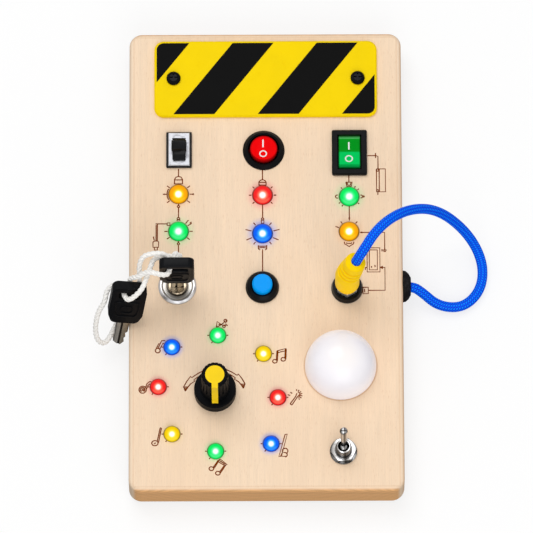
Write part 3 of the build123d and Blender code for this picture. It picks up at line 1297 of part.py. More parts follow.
# ================================================================ battery box, cells, contacts, door
CELL_Z = BOTTOM + DOOR_T + CELL_FLOAT + CELL_R
CELL_ROWS = [BOX_AT[1] + (row - (CELLS - 1) / 2) * CELL_PITCH for row in range(CELLS)]
CELL_X0 = BOX_AT[0] - CELL_L / 2 + 1.5

with BuildPart() as battery_box:
    with BuildSketch(place(BOX_AT, COVER_TOP)):
        Rectangle(BOX_L, BOX_W)
    extrude(amount=BOX_TOP - COVER_TOP)
    with BuildSketch(place(BOX_AT, COVER_TOP)):
        Rectangle(*CELL_OPENING)
    extrude(amount=BOX_TOP - BOX_WALL - COVER_TOP, mode=Mode.SUBTRACT)
finish_part(battery_box.part, "battery_box")

with BuildPart() as batteries:
    for row, y in enumerate(CELL_ROWS):
        way = 1 if row % 2 == 0 else -1
        tail = Plane((BOX_AT[0] - way * CELL_L / 2, y, CELL_Z), x_dir=(0, 1, 0), z_dir=(way, 0, 0))
        with BuildSketch(tail):
            Circle(CELL_R)
        extrude(amount=CELL_L - 1.0)
        with BuildSketch(tail.offset(CELL_L - 1.0)):
            Circle(1.9)
        extrude(amount=1.0)
finish_part(batteries.part, "batteries")

INNER_END = CELL_OPENING[0] / 2
with BuildPart() as battery_contacts:
    for row, y in enumerate(CELL_ROWS):
        way = 1 if row % 2 == 0 else -1
        for end in (-1, 1):
            wall_x = BOX_AT[0] + end * INNER_END
            with BuildSketch(Plane((wall_x, y, CELL_Z), x_dir=(0, 1, 0), z_dir=(-end, 0, 0))):
                RectangleRounded(8.0, 8.0, 1.0)
            extrude(amount=0.5)
            plate_x = wall_x - end * 0.5
            reach = abs(BOX_AT[0] + end * CELL_L / 2 - plate_x) - 0.05
            wide, narrow = (3.4, 2.4) if end == -way else (1.6, 1.4)
            with BuildSketch(Plane((plate_x, y, CELL_Z), x_dir=(0, 1, 0), z_dir=(-end, 0, 0))):
                Circle(wide)
                Circle(wide - 0.7, mode=Mode.SUBTRACT)
            extrude(amount=reach)
finish_part(battery_contacts.part, "battery_contacts")

with BuildPart() as battery_door:
    with BuildSketch(Plane.XY.offset(BOTTOM)):
        with Locations((DOOR_MID[0] + DOOR_T / 4, DOOR_MID[1])):
            Rectangle(DOOR_L - DOOR_T / 2, DOOR_W)
    extrude(amount=DOOR_T)
    with Locations(Pos(DOOR_X0 + DOOR_T / 2, DOOR_MID[1], DOOR_AXIS_Z)):
        Cylinder(DOOR_T / 2, DOOR_W, rotation=(90, 0, 0))
        Cylinder(DOOR_PIN_R, DOOR_W + 2 * DOOR_PIN_L, rotation=(90, 0, 0))
    with Locations(Pos(DOOR_SCREW_AT[0], DOOR_SCREW_AT[1], BOTTOM)):
        Cylinder(DOOR_SCREW_R + SLIP, DOOR_T, align=(Align.CENTER, Align.CENTER, Align.MIN), mode=Mode.SUBTRACT)
        Cone(2 * DOOR_SCREW_R + SLIP, DOOR_SCREW_R + SLIP, 1.2,
             align=(Align.CENTER, Align.CENTER, Align.MIN), mode=Mode.SUBTRACT)
finish_part(battery_door.part, "battery_door")

with BuildPart() as door_screw:
    screw(place(DOOR_SCREW_AT, BOTTOM), 2 * DOOR_SCREW_R, 1.2, DOOR_SCREW_R, DOOR_SCREW_LENGTH, flat_head=True)
finish_part(door_screw.part, "door_screw")
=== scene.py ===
import math
from functools import reduce

import bmesh
import bpy
from mathutils import Matrix, Vector
from mathutils.bvhtree import BVHTree


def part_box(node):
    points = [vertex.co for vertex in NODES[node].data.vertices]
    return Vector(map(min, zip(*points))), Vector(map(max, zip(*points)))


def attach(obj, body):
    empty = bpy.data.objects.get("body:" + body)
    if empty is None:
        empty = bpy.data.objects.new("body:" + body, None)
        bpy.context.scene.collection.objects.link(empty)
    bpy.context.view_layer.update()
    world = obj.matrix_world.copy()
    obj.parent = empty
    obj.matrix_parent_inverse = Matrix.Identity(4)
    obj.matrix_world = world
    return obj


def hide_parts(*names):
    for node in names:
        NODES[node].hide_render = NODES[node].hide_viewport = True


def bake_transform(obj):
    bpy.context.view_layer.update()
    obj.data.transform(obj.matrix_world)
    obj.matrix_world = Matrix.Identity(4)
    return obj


bl_info = {
    "name": "Wooden Busy Board",
    "version": (1, 0, 0),
    "blender": (4, 5, 0),
    "location": "3D View > Sidebar > Busy Board",
    "description": "Dresses a wooden busy board with its switches, lamps, keys and patch cable",
    "category": "Object",
}

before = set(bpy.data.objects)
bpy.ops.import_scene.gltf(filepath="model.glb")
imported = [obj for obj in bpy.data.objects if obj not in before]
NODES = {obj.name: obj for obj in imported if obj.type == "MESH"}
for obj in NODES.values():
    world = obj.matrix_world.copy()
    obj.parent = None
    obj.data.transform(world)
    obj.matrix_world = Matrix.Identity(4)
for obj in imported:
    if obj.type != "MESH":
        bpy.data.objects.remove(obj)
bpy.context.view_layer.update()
MM = 0.001
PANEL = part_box("case")[1].z            # height of the board's face
TILT = math.radians(19.5)              # how far the camera leans towards the near side
UPRIGHT = (1, 1, 1e6)                  # stretch that leaves a pattern the same at every height
BIG = 5.5 * MM                         # radius of a large lens
SMALL = 4.5 * MM                       # radius of a ring lens

# Places on the board, in millimetres
HALF_WIDTH, HALF_LENGTH = 75.0, 133.0
LOCK = (-48.5, -15.5)
DOME = (40.6, -61.6)
TOGGLE = (41.8, -110.8)
SOCKET = (44.4, -16.8)
KNOB = (-27.9, -76.6)
SPEAKER = (32.0, 104.0)
# The lamps of each colour: x and y in millimetres, and the lens's radius in metres
LAMPS = {
    "amber": [(-47.9, 38.4, BIG), (45.7, 16.3, BIG)],
    "green": [(-47.9, 16.7, BIG), (45.9, 36.7, BIG), (-26.4, -43.7, SMALL), (-27.7, -110.3, SMALL)],
    "red": [(-1.7, 37.7, BIG), (6.3, -79.6, SMALL), (-58.9, -73.3, SMALL)],
    "blue": [(-1.8, 15.3, BIG), (-51.5, -50.4, SMALL), (2.5, -106.1, SMALL)],
    "yellow": [(-1.5, -54.4, SMALL), (-51.4, -100.4, SMALL)],
}


def paint(red, green, blue):
    """A screen colour, 0 to 255 a channel, as the linear colour that a shader takes."""
    return tuple(
        c / 255 / 12.92 if c <= 10 else ((c / 255 + 0.055) / 1.055) ** 2.4
        for c in (red, green, blue)
    )


def painted(*stops):
    """Ramp stops from screen colours."""
    return [(place, paint(*screen)) for place, *screen in stops]


def darker(colour, share):
    """The colour at that share of its brightness."""
    return tuple(c * share for c in colour[:3])


def towards(colour, other, share):
    """The colour, that share of the way to the other."""
    return tuple(a + (b - a) * share for a, b in zip(colour[:3], other[:3]))


# ---- sizes and colours of the board


def tint(name, description, *screen):
    return bpy.props.FloatVectorProperty(
        name=name, description=description, default=paint(*screen), subtype="COLOR", size=3, min=0, max=1
    )


def span(name, description, millimetres):
    return bpy.props.FloatProperty(
        name=name, description=description, default=millimetres * MM, min=0, unit="LENGTH",
        subtype="DISTANCE", precision=5,
    )


def number(name, description, default, low, high):
    return bpy.props.IntProperty(name=name, description=description, default=default, min=low, max=high)


class BusyBoardColours(bpy.types.PropertyGroup):
    """Colours of the board's pieces."""

    beech: tint("Beech", "Face of the wooden board", 250, 223, 193)
    end_grain: tint("End grain", "Sawn ends of the wooden board", 244, 188, 130)
    burnt_line: tint("Burnt line", "Lines engraved in the wood", 130, 56, 0)
    plate_yellow: tint("Plate yellow", "Ground of the striped plate", 255, 220, 0)
    stripe_black: tint("Stripe black", "Stripes of the plate", 10, 10, 10)
    black: tint("Black plastic", "Bezels, keys, knob and sockets", 12, 13, 16)
    red_rocker: tint("Red rocker", "Rocker of the round switch", 250, 2, 8)
    green_rocker: tint("Green rocker", "Rocker of the square switch", 0, 150, 30)
    button_blue: tint("Button blue", "Cap of the push button", 0, 160, 255)
    cable_blue: tint("Cable blue", "Braid of the patch cable", 0, 70, 246)
    boot_yellow: tint("Boot yellow", "Boot of the patch cable's plug", 255, 214, 0)
    knob_yellow: tint("Knob yellow", "Cap and pointer of the knob", 255, 216, 28)
    dome_white: tint("Dome white", "Milky dome of the large lamp", 248, 246, 250)
    cotton_white: tint("Cotton white", "Cord of the two keys", 251, 249, 245)
    mark_white: tint("Mark white", "Marks on the rockers", 240, 240, 240)
    lamp_amber: tint("Amber lamps", "Lens of the amber lamps", 254, 170, 2)
    lamp_green: tint("Green lamps", "Lens of the green lamps", 0, 240, 100)
    lamp_red: tint("Red lamps", "Lens of the red lamps", 251, 36, 38)
    lamp_blue: tint("Blue lamps", "Lens of the blue lamps", 0, 100, 252)
    lamp_yellow: tint("Yellow lamps", "Lens of the yellow lamps", 250, 210, 0)


class BusyBoardSizes(bpy.types.PropertyGroup):
    """Sizes of the pieces that model.glb leaves open."""

    line_width: span("Line width", "Width of the engraved circuit lines", 0.62)
    sign_width: span("Sign width", "Width of the engraved music signs and arrows", 0.64)
    line_height: span("Line height", "How far an engraved line's burnt edge stands up", 0.03)
    cord_diameter: span("Cord diameter", "Thickness of the keys' cord", 3.0)
    cord_lay: span("Cord lay", "Length of one turn of the cord's strands", 7.5)
    cord_strands: number("Cord strands", "Strands twisted into the keys' cord", 3, 2, 6)
    cable_diameter: span("Cable diameter", "Thickness of the patch cable", 5.5)
    braid_pitch: span("Braid pitch", "Length of one turn of the cable's braid", 13.0)
    braid_carriers: number("Braid carriers", "Yarns that run each way round the cable", 9, 4, 24)
    halo_reach: span("Halo reach", "How far a lamp's glow spreads over the wood", 5.6)
    rim: span("Rim", "Thickness of the raised rims on the key heads", 0.55)
    mark_lift: span("Mark lift", "Thickness of the printed switch marks", 0.05)


# ---- finishes

VARIED = ("Base Color", "Roughness", "Metallic", "Coat Weight", "Alpha", "Emission Color", "Normal")
PLAIN = {
    "rough": "Roughness", "gloss": "Specular IOR Level", "metal": "Metallic", "coat": "Coat Weight",
    "coat_rough": "Coat Roughness", "glow": "Emission Color", "light": "Emission Strength",
}


def maths(operation, swapped=False):
    """A method of Link that adds a Math node on the link and the other term, in that order or swapped."""

    def method(self, other):
        return self.math(operation, *((other, self) if swapped else (self, other)))

    return method


class Link:
    """A socket of a node tree. Python's operators on it add Math nodes."""

    __add__, __radd__ = maths("ADD"), maths("ADD", True)
    __sub__, __rsub__ = maths("SUBTRACT"), maths("SUBTRACT", True)
    __mul__, __truediv__, __pow__ = maths("MULTIPLY"), maths("DIVIDE"), maths("POWER")
    least, most, to_and_fro = maths("MINIMUM"), maths("MAXIMUM"), maths("PINGPONG")

    def __init__(self, tree, socket):
        self.tree = tree
        self.socket = socket

    def math(self, operation, *terms):
        """The result of a Math node on the terms."""
        node = self.tree.nodes.new("ShaderNodeMath")
        node.operation = operation
        for slot, term in zip(node.inputs, terms):
            if isinstance(term, Link):
                self.tree.links.new(term.socket, slot)
            else:
                slot.default_value = term
        return Link(self.tree, node.outputs[0])

    def __abs__(self):
        return self.math("ABSOLUTE", self)

    def sine(self, length=1.0):
        """A sine that repeats every length."""
        return self.math("SINE", self * (2 * math.pi / length))

    def wave(self, length):
        """A sine from 0 to 1 that repeats every length, in millimetres."""
        return self.sine(length * MM) * 0.5 + 0.5


class Finish:
    """A material in the making, with one method that adds any node but a Math node."""

    def __init__(self, name, colour, **plain):
        self.material = bpy.data.materials.new(name)
        self.material.use_nodes = True
        self.tree = self.material.node_tree
        self.shader = self.tree.nodes["Principled BSDF"]
        self.shader.inputs["Base Color"].default_value = (*colour[:3], 1)
        for socket, value in plain.items():
            self.shader.inputs[PLAIN[socket]].default_value = value

    def node(self, kind, settings=None, sockets=None, output=0):
        """A node of that kind, with its settings and with values or links on its sockets."""
        node = self.tree.nodes.new("ShaderNode" + kind)
        for name, value in (settings or {}).items():
            setattr(node, name, value)
        for name, value in (sockets or {}).items():
            socket = node.inputs[name]
            if isinstance(value, Link):
                self.tree.links.new(value.socket, socket)
            else:
                socket.default_value = (*value[:3], 1) if socket.type == "RGBA" else value
        return Link(self.tree, node.outputs[output])

    def feed(self, socket, link):
        """Lets a pattern drive one of the shader's sockets."""
        if socket not in VARIED:
            raise ValueError(f"{socket} takes a plain number, not a pattern")
        self.tree.links.new(link.socket, self.shader.inputs[socket])

    def point(self, centre=(0, 0, 0), turn=(0, 0, 0), stretch=(1, 1, 1)):
        """Object coordinates for a pattern that is put at centre, turned and stretched."""
        here = self.node("TexCoord", output="Object")
        places = {"Vector": here, "Location": centre, "Rotation": turn, "Scale": stretch}
        return self.node("Mapping", {"vector_type": "TEXTURE"}, places)

    def axis(self, name, point=None):
        """One of the coordinates of a point."""
        return self.node("SeparateXYZ", {}, {0: point or self.point()}, output=name)

    def length(self, point):
        return self.node("VectorMath", {"operation": "LENGTH"}, {0: point}, output="Value")

    def away(self, x, y):
        """Distance from the upright line at x and y, given in millimetres."""
        return self.length(self.point(centre=(x * MM, y * MM, 0), stretch=UPRIGHT))

    def noise(self, size, point=None, detail=2.0, roughness=0.5, twist=0.0, **place):
        """Cloudy noise with lumps of about that many millimetres."""
        values = {"Vector": point or self.point(**place), "Scale": 1 / (size * MM), "Detail": detail}
        return self.node("TexNoise", {}, {**values, "Roughness": roughness, "Distortion": twist})

    def cells(self, size, jumble=1.0):
        """Distance inside cells of about that many millimetres."""
        values = {"Vector": self.point(), "Scale": 1 / (size * MM), "Randomness": jumble}
        return self.node("TexVoronoi", {}, values)

    def step(self, value, low, high, start=0.0, end=1.0):
        """The value, taken from low to high, as a smooth step from start to end."""
        values = {0: value, 1: low, 2: high, 3: start, 4: end}
        return self.node("MapRange", {"interpolation_type": "SMOOTHSTEP"}, values)

    def fall(self, value, low, high):
        """A smooth step down from 1 to 0."""
        return self.step(value, low, high, 1.0, 0.0)

    def past(self, value, low, high):
        """1 where a length is past high, and 0 where it is under low, in millimetres."""
        return self.step(value, low * MM, high * MM)

    def within(self, value, low, high):
        """1 where a length is under low, and 0 where it is past high, in millimetres."""
        return self.fall(value, low * MM, high * MM)

    def mix(self, factor, first, second, blend="MIX"):
        """The first colour, turning into the second as the factor rises."""
        settings = {"data_type": "RGBA", "blend_type": blend}
        return self.node("Mix", settings, {0: factor, 6: first, 7: second}, output=2)

    def shade(self, colour, value, low, high):
        """The colour, between low and high times as bright as the value goes from 0 to 1."""
        level = value * (high - low) + low
        return self.mix(1.0, colour, self.node("CombineXYZ", {}, {0: level, 1: level, 2: level}), "MULTIPLY")

    def ramp(self, value, stops):
        """The colours of the stops, one after the other, as the value goes from 0 to 1."""
        made = self.node("ValToRGB", {}, {0: value})
        elements = made.socket.node.color_ramp.elements
        while len(elements) < len(stops):
            elements.new(1.0)
        for element, (place, colour) in zip(elements, stops):
            element.position = place
            element.color = (*colour[:3], 1)
        return made

    def surface(self, colour, roughness, height, depth, strength):
        """Feeds colour and roughness, raises height 1 by depth in millimetres, and gives the material."""
        bump = self.node("Bump", {}, {"Height": height, "Distance": depth * MM, "Strength": strength})
        for socket, link in (("Base Color", colour), ("Roughness", roughness), ("Normal", bump)):
            if link is not None:
                self.feed(socket, link)
        return self.material


def moulded(name, colour, rough=0.32, skin=0.5, dust=0.015, gloss=0.06):
    """Moulded plastic: a faint orange-peel skin, uneven gloss, dust and fine scratches."""
    finish = Finish(name, colour, gloss=gloss)
    smears = finish.noise(9, detail=3, roughness=0.6)
    specks = finish.step(finish.noise(0.35, detail=1), 0.66, 0.74)
    scratch = finish.noise(1.2, detail=3, turn=(0.3, 0.2, 0.7), stretch=(0.08, 1.6, 0.6))
    scratches = finish.step(scratch, 0.70, 0.76)
    body = finish.shade(colour, smears, 0.92, 1.08)
    pale = towards(colour, (0.6, 0.58, 0.55), 0.5)
    return finish.surface(
        finish.mix((specks * 0.5 + scratches * 0.4) * dust * 4, body, pale),
        smears * 0.16 + scratches * 0.12 + (rough - 0.08),
        finish.noise(0.5) + scratches * 0.3, 0.02, skin,
    )


def plated(name, colour, rough=0.16, grain=0.25, grime=0.35, stretch=(1, 1, 0.04)):
    """Plated metal: fine tool marks, fingerprints and darker grime in patches."""
    finish = Finish(name, colour, metal=1.0)
    marks = finish.noise(0.25, detail=3, roughness=0.65, stretch=stretch)
    dull = finish.step(finish.noise(3.5, detail=4, roughness=0.6, twist=0.8), 0.48, 0.72)
    clean = finish.shade(colour, marks, 0.90, 1.06)
    worn = finish.mix(dull * grime, clean, darker(colour, 0.52))
    return finish.surface(worn, dull * 0.14 + marks * 0.10 + (rough - 0.06), marks, 0.012, grain)


def soft_rubber(name, colour):
    """Matt rubber with a chalky bloom."""
    finish = Finish(name, colour, gloss=0.12)
    bloom = finish.noise(2.5, detail=4, roughness=0.7)
    chalk = finish.step(bloom, 0.45, 0.8) * 0.35
    body = finish.mix(chalk, colour, towards(colour, (0.3, 0.3, 0.3), 0.3))
    return finish.surface(body, bloom * 0.2 + 0.6, finish.cells(0.3), 0.02, 0.4)


def beech(colours, sizes):
    """Beech: long growth bands, fine fibre, short dark flecks, browner end grain, and painted lamp glow, edge
    highlight and shade.
    """
    finish = Finish("beech", colours.beech, gloss=0.15)
    x, y, z = (finish.axis(name) for name in "XYZ")
    ring = z + x * x * 3.5 + finish.noise(55, stretch=(1, 5, 1)) * 0.012
    bands = ring.wave(4.4) * 0.6 + ring.wave(1.7) * 0.4
    fibre = finish.noise(0.55, detail=3, roughness=0.6, stretch=(1, 24, 1))
    strands = finish.noise(2.2, stretch=(1, 30, 1))
    blotch = finish.noise(34, detail=3, stretch=(1, 2.4, 1))
    fleck_field = finish.noise(0.6, detail=1, roughness=0.4, stretch=(0.5, 5.0, 0.9))
    flecks = finish.step(fleck_field + finish.noise(7, stretch=(1, 2, 1)) * 0.12, 0.70, 0.80)
    tone = fibre * 0.85 + strands * 0.35 + bands * 0.1 + blotch * 0.2
    pale = finish.shade(colours.beech, tone, 0.80, 1.055)
    warm = finish.mix(finish.step(blotch, 0.35, 0.75) * 0.28, pale, paint(243, 206, 168))
    fleck_brown = paint(214, 166, 122)
    face = finish.mix(flecks * 0.3, warm, fleck_brown)

    sawn = finish.past(abs(y), 130.9, 132.4)
    pores = finish.step(finish.noise(0.35), 0.55, 0.72)
    sawn_bands = ring.wave(2.6) * 0.55 + finish.noise(1.4, detail=3, stretch=(14, 1, 1)) * 0.6
    sawn_bands = sawn_bands - finish.within(abs(z - 16.4 * MM), 0.15, 0.6) * 0.5
    sawn_face = finish.shade(colours.end_grain, sawn_bands, 0.78, 1.1)
    wood = finish.mix(sawn, face, finish.mix(pores * 0.35, sawn_face, paint(168, 118, 74)))

    top = finish.step(z, PANEL - 1.2 * MM, PANEL - 0.2 * MM)
    inside = (HALF_WIDTH * MM - abs(x)).least(HALF_LENGTH * MM - abs(y))
    # Painted highlight: a lighter band along the rounded top edges, with a painted shade line just inside it.
    wood = finish.mix(finish.within(inside, 1.4, 2.2) * top * 0.35, wood, paint(253, 232, 208))
    rounding_shade_line = finish.within(abs(inside - 2.5 * MM), 0.15, 0.55)
    wood = finish.mix(rounding_shade_line * top * 0.22, wood, fleck_brown)
    # Painted light: each lamp's glow laid on the wood round its lens as a pool of its colour, and a thin dark
    # ring in the lamp's colour right at the lens.
    for name, places in LAMPS.items():
        light = getattr(colours, "lamp_" + name)
        share = 0.62 if name in ("red", "blue") else 0.36
        for lamp_x, lamp_y, radius in places:
            away = finish.away(lamp_x, lamp_y)
            reach = radius + sizes.halo_reach * (radius / BIG) ** 2
            near = finish.fall(away, radius * 0.86, reach)
            wood = finish.mix(near ** 1.6 * top * share, wood, towards(light, (1, 1, 1), 0.3))
            rim = finish.fall(away, radius * 1.02, radius * 1.09)
            wood = finish.mix(rim * 0.8, wood, darker(light, 0.12))
    # Painted shadow: a dark brown ring on the wood round the foot of the dome.
    wood = finish.mix(finish.within(finish.away(*DOME), 19.7, 20.6) * top * 0.55, wood, paint(190, 140, 92))
    return finish.surface(
        # Painted shade: the right side edge darkened towards the end-grain colour, on that side only.
        finish.mix(finish.past(x, 73.6, 74.8) * 0.4, wood, colours.end_grain),
        fibre * 0.16 + flecks * 0.08 + 0.42,
        fibre * 0.6 + flecks * -0.8 + pores * sawn * -1.2 + strands * 0.4, 0.035, 0.55,
    )


def fibre_board():
    """Thin pressed board: matted fibres, paler smooth skin, dark specks."""
    brown = paint(196, 160, 118)
    finish = Finish("fibre_board", brown, gloss=0.3)
    mat = finish.noise(1.1, detail=4, roughness=0.7, twist=1.2)
    specks = finish.step(finish.noise(0.5, detail=1), 0.68, 0.76)
    body = finish.shade(brown, mat * 0.6 + finish.noise(20, detail=3) * 0.4, 0.84, 1.12)
    body = finish.mix(specks * 0.6, body, paint(120, 86, 52))
    return finish.surface(body, mat * 0.2 + 0.6, mat, 0.05, 0.5)


def burnt_line(colours):
    """Wood burnt by a fine tool: uneven brown, darker in dots, dry and rough."""
    finish = Finish("burnt_line", colours.burnt_line, gloss=0.04)
    char = finish.noise(0.5, detail=3, roughness=0.7)
    brown = finish.shade(colours.burnt_line, finish.noise(5), 0.8, 1.2)
    brown = finish.mix(finish.step(char, 0.5, 0.75) * 0.5, brown, paint(88, 38, 0))
    return finish.surface(brown, char * 0.2 + 0.75, char, 0.04, 0.7)


def painted_plate(name, colour, worn, rough=0.36):
    """Painted sheet: slight orange peel, rubbed patches and small chips."""
    finish = Finish(name, colour, gloss=0.04)
    cloud = finish.noise(14, detail=4, roughness=0.6)
    rub = finish.step(finish.noise(4, detail=4, twist=1.0), 0.56, 0.8)
    chips = finish.step(finish.noise(0.7), 0.72, 0.78)
    body = finish.mix(rub * 0.15 + chips * 0.2, finish.shade(colour, cloud, 0.93, 1.05), worn)
    peel = finish.noise(0.45) + cloud * 0.5
    return finish.surface(body, rub * 0.16 + cloud * 0.08 + rough, peel, 0.02, 0.45)


# The colour in the heart of each lit lamp
HEARTS = {
    "amber": paint(254, 240, 50),
    "green": paint(120, 251, 186),
    "red": paint(254, 150, 118),
    "blue": paint(80, 205, 254),
    "yellow": paint(252, 248, 90),
}


def glowing_lens(name, colour):
    """A lit lamp: white-hot in the middle, its own colour towards a dark rim, and a painted highlight as a
    bright lower crescent.

    The light inside is aimed a little towards the board's near side, so the rings lie across that line.
    """
    finish = Finish("lens_" + name, darker(colour, 0.06), gloss=0.06, light=1.0)
    heart = HEARTS[name]
    middles = []
    highlight_crescents = []
    for x, y, radius in LAMPS[name]:
        aimed = finish.point(centre=(x * MM, y * MM, PANEL), turn=(TILT, 0, 0), stretch=UPRIGHT)
        out = finish.length(aimed) / radius
        # Painted highlight: a bright crescent on each lens's lower side, towards the board's near side.
        drop = finish.step(finish.axis("Y", aimed) / -radius, 0.15, 0.5)
        middles.append(out)
        highlight_crescents.append(finish.step(out, 0.50, 0.60) * finish.fall(out, 0.72, 0.84) * drop)
    spill = finish.noise(1.1)
    white = (1, 1, 1)
    stops = [
        (0.0, white), (0.25, white), (0.37, heart), (0.50, towards(colour, heart, 0.25)), (0.64, colour),
        (0.85, darker(colour, 0.86)), (0.93, darker(colour, 0.45)), (1.0, darker(colour, 0.10)),
    ]
    glow = finish.ramp(reduce(Link.least, middles) + (spill - 0.5) * 0.05, stops)
    lit = finish.mix(reduce(Link.most, highlight_crescents) * 0.4, glow, towards(colour, heart, 0.8))
    finish.feed("Emission Color", lit)
    return finish.surface(None, spill * 0.1 + 0.06, spill, 0.02, 0.15)


def milky_dome(colours):
    """Milky plastic with a soft warm heart where its lamp sits, and a faint moulding haze."""
    finish = Finish("milky_dome", colours.dome_white, gloss=0.4, light=1.0)
    heart = finish.within(finish.away(DOME[0] + 1.6, DOME[1] - 1.0), 1, 15)
    haze = finish.noise(12, detail=3)
    cold = finish.shade(colours.dome_white, haze, 0.97, 1.01)
    finish.feed("Emission Color", finish.mix(heart, (0.105, 0.098, 0.115), (0.08, 0.072, 0.066)))
    warm = finish.mix(heart * 0.5, cold, paint(255, 247, 240))
    return finish.surface(warm, haze * 0.1 + 0.2, haze + finish.noise(0.8) * 0.05, 0.05, 0.3)


def cotton(colours):
    """Twisted cotton: fine fibres that run along each strand, soft sheen, greyer in the grooves, and a faint
    painted glow.
    """
    finish = Finish("cotton", colours.cotton_white, rough=0.9, gloss=0.1, light=1.0)
    along = finish.node("UVMap", {"uv_map": "UVMap"})
    yarn = finish.node("Mapping", {}, {"Vector": along, "Scale": (260, 5, 1), "Rotation": (0, 0, 0.02)})
    fibres = finish.node("TexNoise", {}, {"Vector": yarn, "Scale": 1.0, "Detail": 3.0, "Distortion": 0.6})
    fuzz = finish.noise(0.22, detail=3, roughness=0.7)
    soil = finish.step(finish.noise(6, detail=3), 0.5, 0.8)
    body = finish.shade(colours.cotton_white, fibres * 0.6 + fuzz * 0.4, 0.80, 1.12)
    # Painted light: a faint glow that brightens the whole cord, though it is no lamp.
    finish.feed("Emission Color", finish.shade((0.085, 0.082, 0.078), fibres, 0.5, 1.3))
    body = finish.mix(soil * 0.12, body, paint(226, 214, 196))
    return finish.surface(body, None, fibres * 0.7 + fuzz * 0.5, 0.12, 0.9)


def braided(colours, sizes, length):
    """A braided jacket: yarns wind both ways round the cable and pass over and under each other; painted
    shade, highlights and glow.
    """
    finish = Finish("braid", colours.cable_blue, gloss=0.08, light=1.0)
    uv = finish.node("UVMap", {"uv_map": "UVMap"})
    along = finish.axis("X", uv) * (length / sizes.braid_pitch)
    round_it = finish.axis("Y", uv)
    left = ((along + round_it) * (sizes.braid_carriers / 2)).sine()
    right = ((along - round_it) * (sizes.braid_carriers / 2)).sine()
    over = finish.step(left * right, -0.12, 0.12)
    height = abs(left) * over + abs(right) * (1 - over)
    threads = finish.noise(0.12, detail=1)
    # Painted shade and highlight: the yarns' crowns lighter and the hollows between them darker, with painted
    # glints of brighter blue.
    shine = finish.step(height, 0.2, 0.85)
    bright = paint(8, 146, 255)
    yarn = finish.mix(over * 0.8, colours.cable_blue, bright)
    yarn = finish.mix(shine, darker(colours.cable_blue, 0.5), yarn)
    # Painted light: a blue glow over the whole cable, strongest on the crowns, though it is no lamp.
    light = finish.mix(over, (0.0, 0.004, 0.20), (0.0, 0.035, 0.34))
    finish.feed("Emission Color", finish.mix(shine, (0.0, 0.0, 0.03), light))
    yarn = finish.mix(shine * threads * 0.3, yarn, bright)
    return finish.surface(yarn, threads * 0.2 + 0.34, height + threads * 0.2, 0.14, 0.8)


def circuit_board(name, colour):
    """Solder mask over copper tracks, with bright pads in a loose grid."""
    finish = Finish(name, colour, coat=0.5, coat_rough=0.15)
    tracks = finish.node(
        "TexBrick", {"offset": 0.37, "squash": 0.6, "squash_frequency": 3},
        {"Vector": finish.point(), "Scale": 260.0, "Mortar Size": 0.03, "Color1": (1, 1, 1),
         "Color2": (1, 1, 1), "Mortar": (0, 0, 0)}, output="Fac",
    )
    pads = finish.fall(finish.cells(3.1, jumble=0.55), 0.16, 0.20)
    cloud = finish.noise(6, detail=3)
    mask = finish.shade(colour, cloud, 0.85, 1.1)
    copper = finish.mix(tracks * 0.6, mask, towards(colour, (0.2, 0.5, 0.1), 0.4))
    finish.feed("Metallic", pads)
    body = finish.mix(pads * 0.9, copper, paint(206, 204, 196))
    return finish.surface(body, cloud * 0.2 + 0.25, tracks + pads, 0.05, 0.5)


def cell_jacket():
    """The printed film round a dry cell, with a metal foot and head and a plain coloured band."""
    finish = Finish("cell_jacket", paint(30, 60, 36), coat=0.6, coat_rough=0.1)
    x = abs(finish.axis("X") + 26.0 * MM)
    ends = finish.past(x, 21.0, 21.2)
    crease = finish.noise(1.5, detail=3, stretch=(6, 1, 1))
    film = finish.mix(finish.within(x, 11.0, 11.4), paint(26, 26, 28), paint(46, 140, 70))
    film = finish.mix(crease * 0.2, film, paint(220, 220, 220))
    finish.feed("Metallic", ends)
    return finish.surface(finish.mix(ends, film, paint(190, 190, 186)), crease * 0.2 + 0.2, crease, 0.04, 0.4)


def speaker_metal():
    """A small speaker: pressed steel, with its dark paper cone inside the rim."""
    finish = Finish("speaker_metal", paint(150, 150, 150))
    out = finish.away(*SPEAKER)
    paper = finish.within(out, 15.4, 15.8)
    fibres = finish.noise(0.6, detail=4)
    ribs = out.wave(2.2)
    cone = finish.shade(paint(44, 42, 40), fibres * 0.6 + ribs * 0.4, 0.7, 1.2)
    steel = finish.shade(paint(176, 178, 180), fibres, 0.9, 1.05)
    finish.feed("Metallic", 1 - paper)
    body = finish.mix(paper, steel, cone)
    return finish.surface(body, paper * 0.5 + fibres * 0.1 + 0.28, fibres + ribs * paper, 0.05, 0.5)


def printed_mark(colours):
    """Pad-printed ink, thin and a little uneven at its edges."""
    finish = Finish("printed_mark", colours.mark_white, coat=0.2, coat_rough=0.2)
    ink = finish.noise(0.4, detail=3)
    return finish.surface(finish.shade(colours.mark_white, ink, 0.90, 1.03), ink * 0.2 + 0.35, ink, 0.01, 0.4)


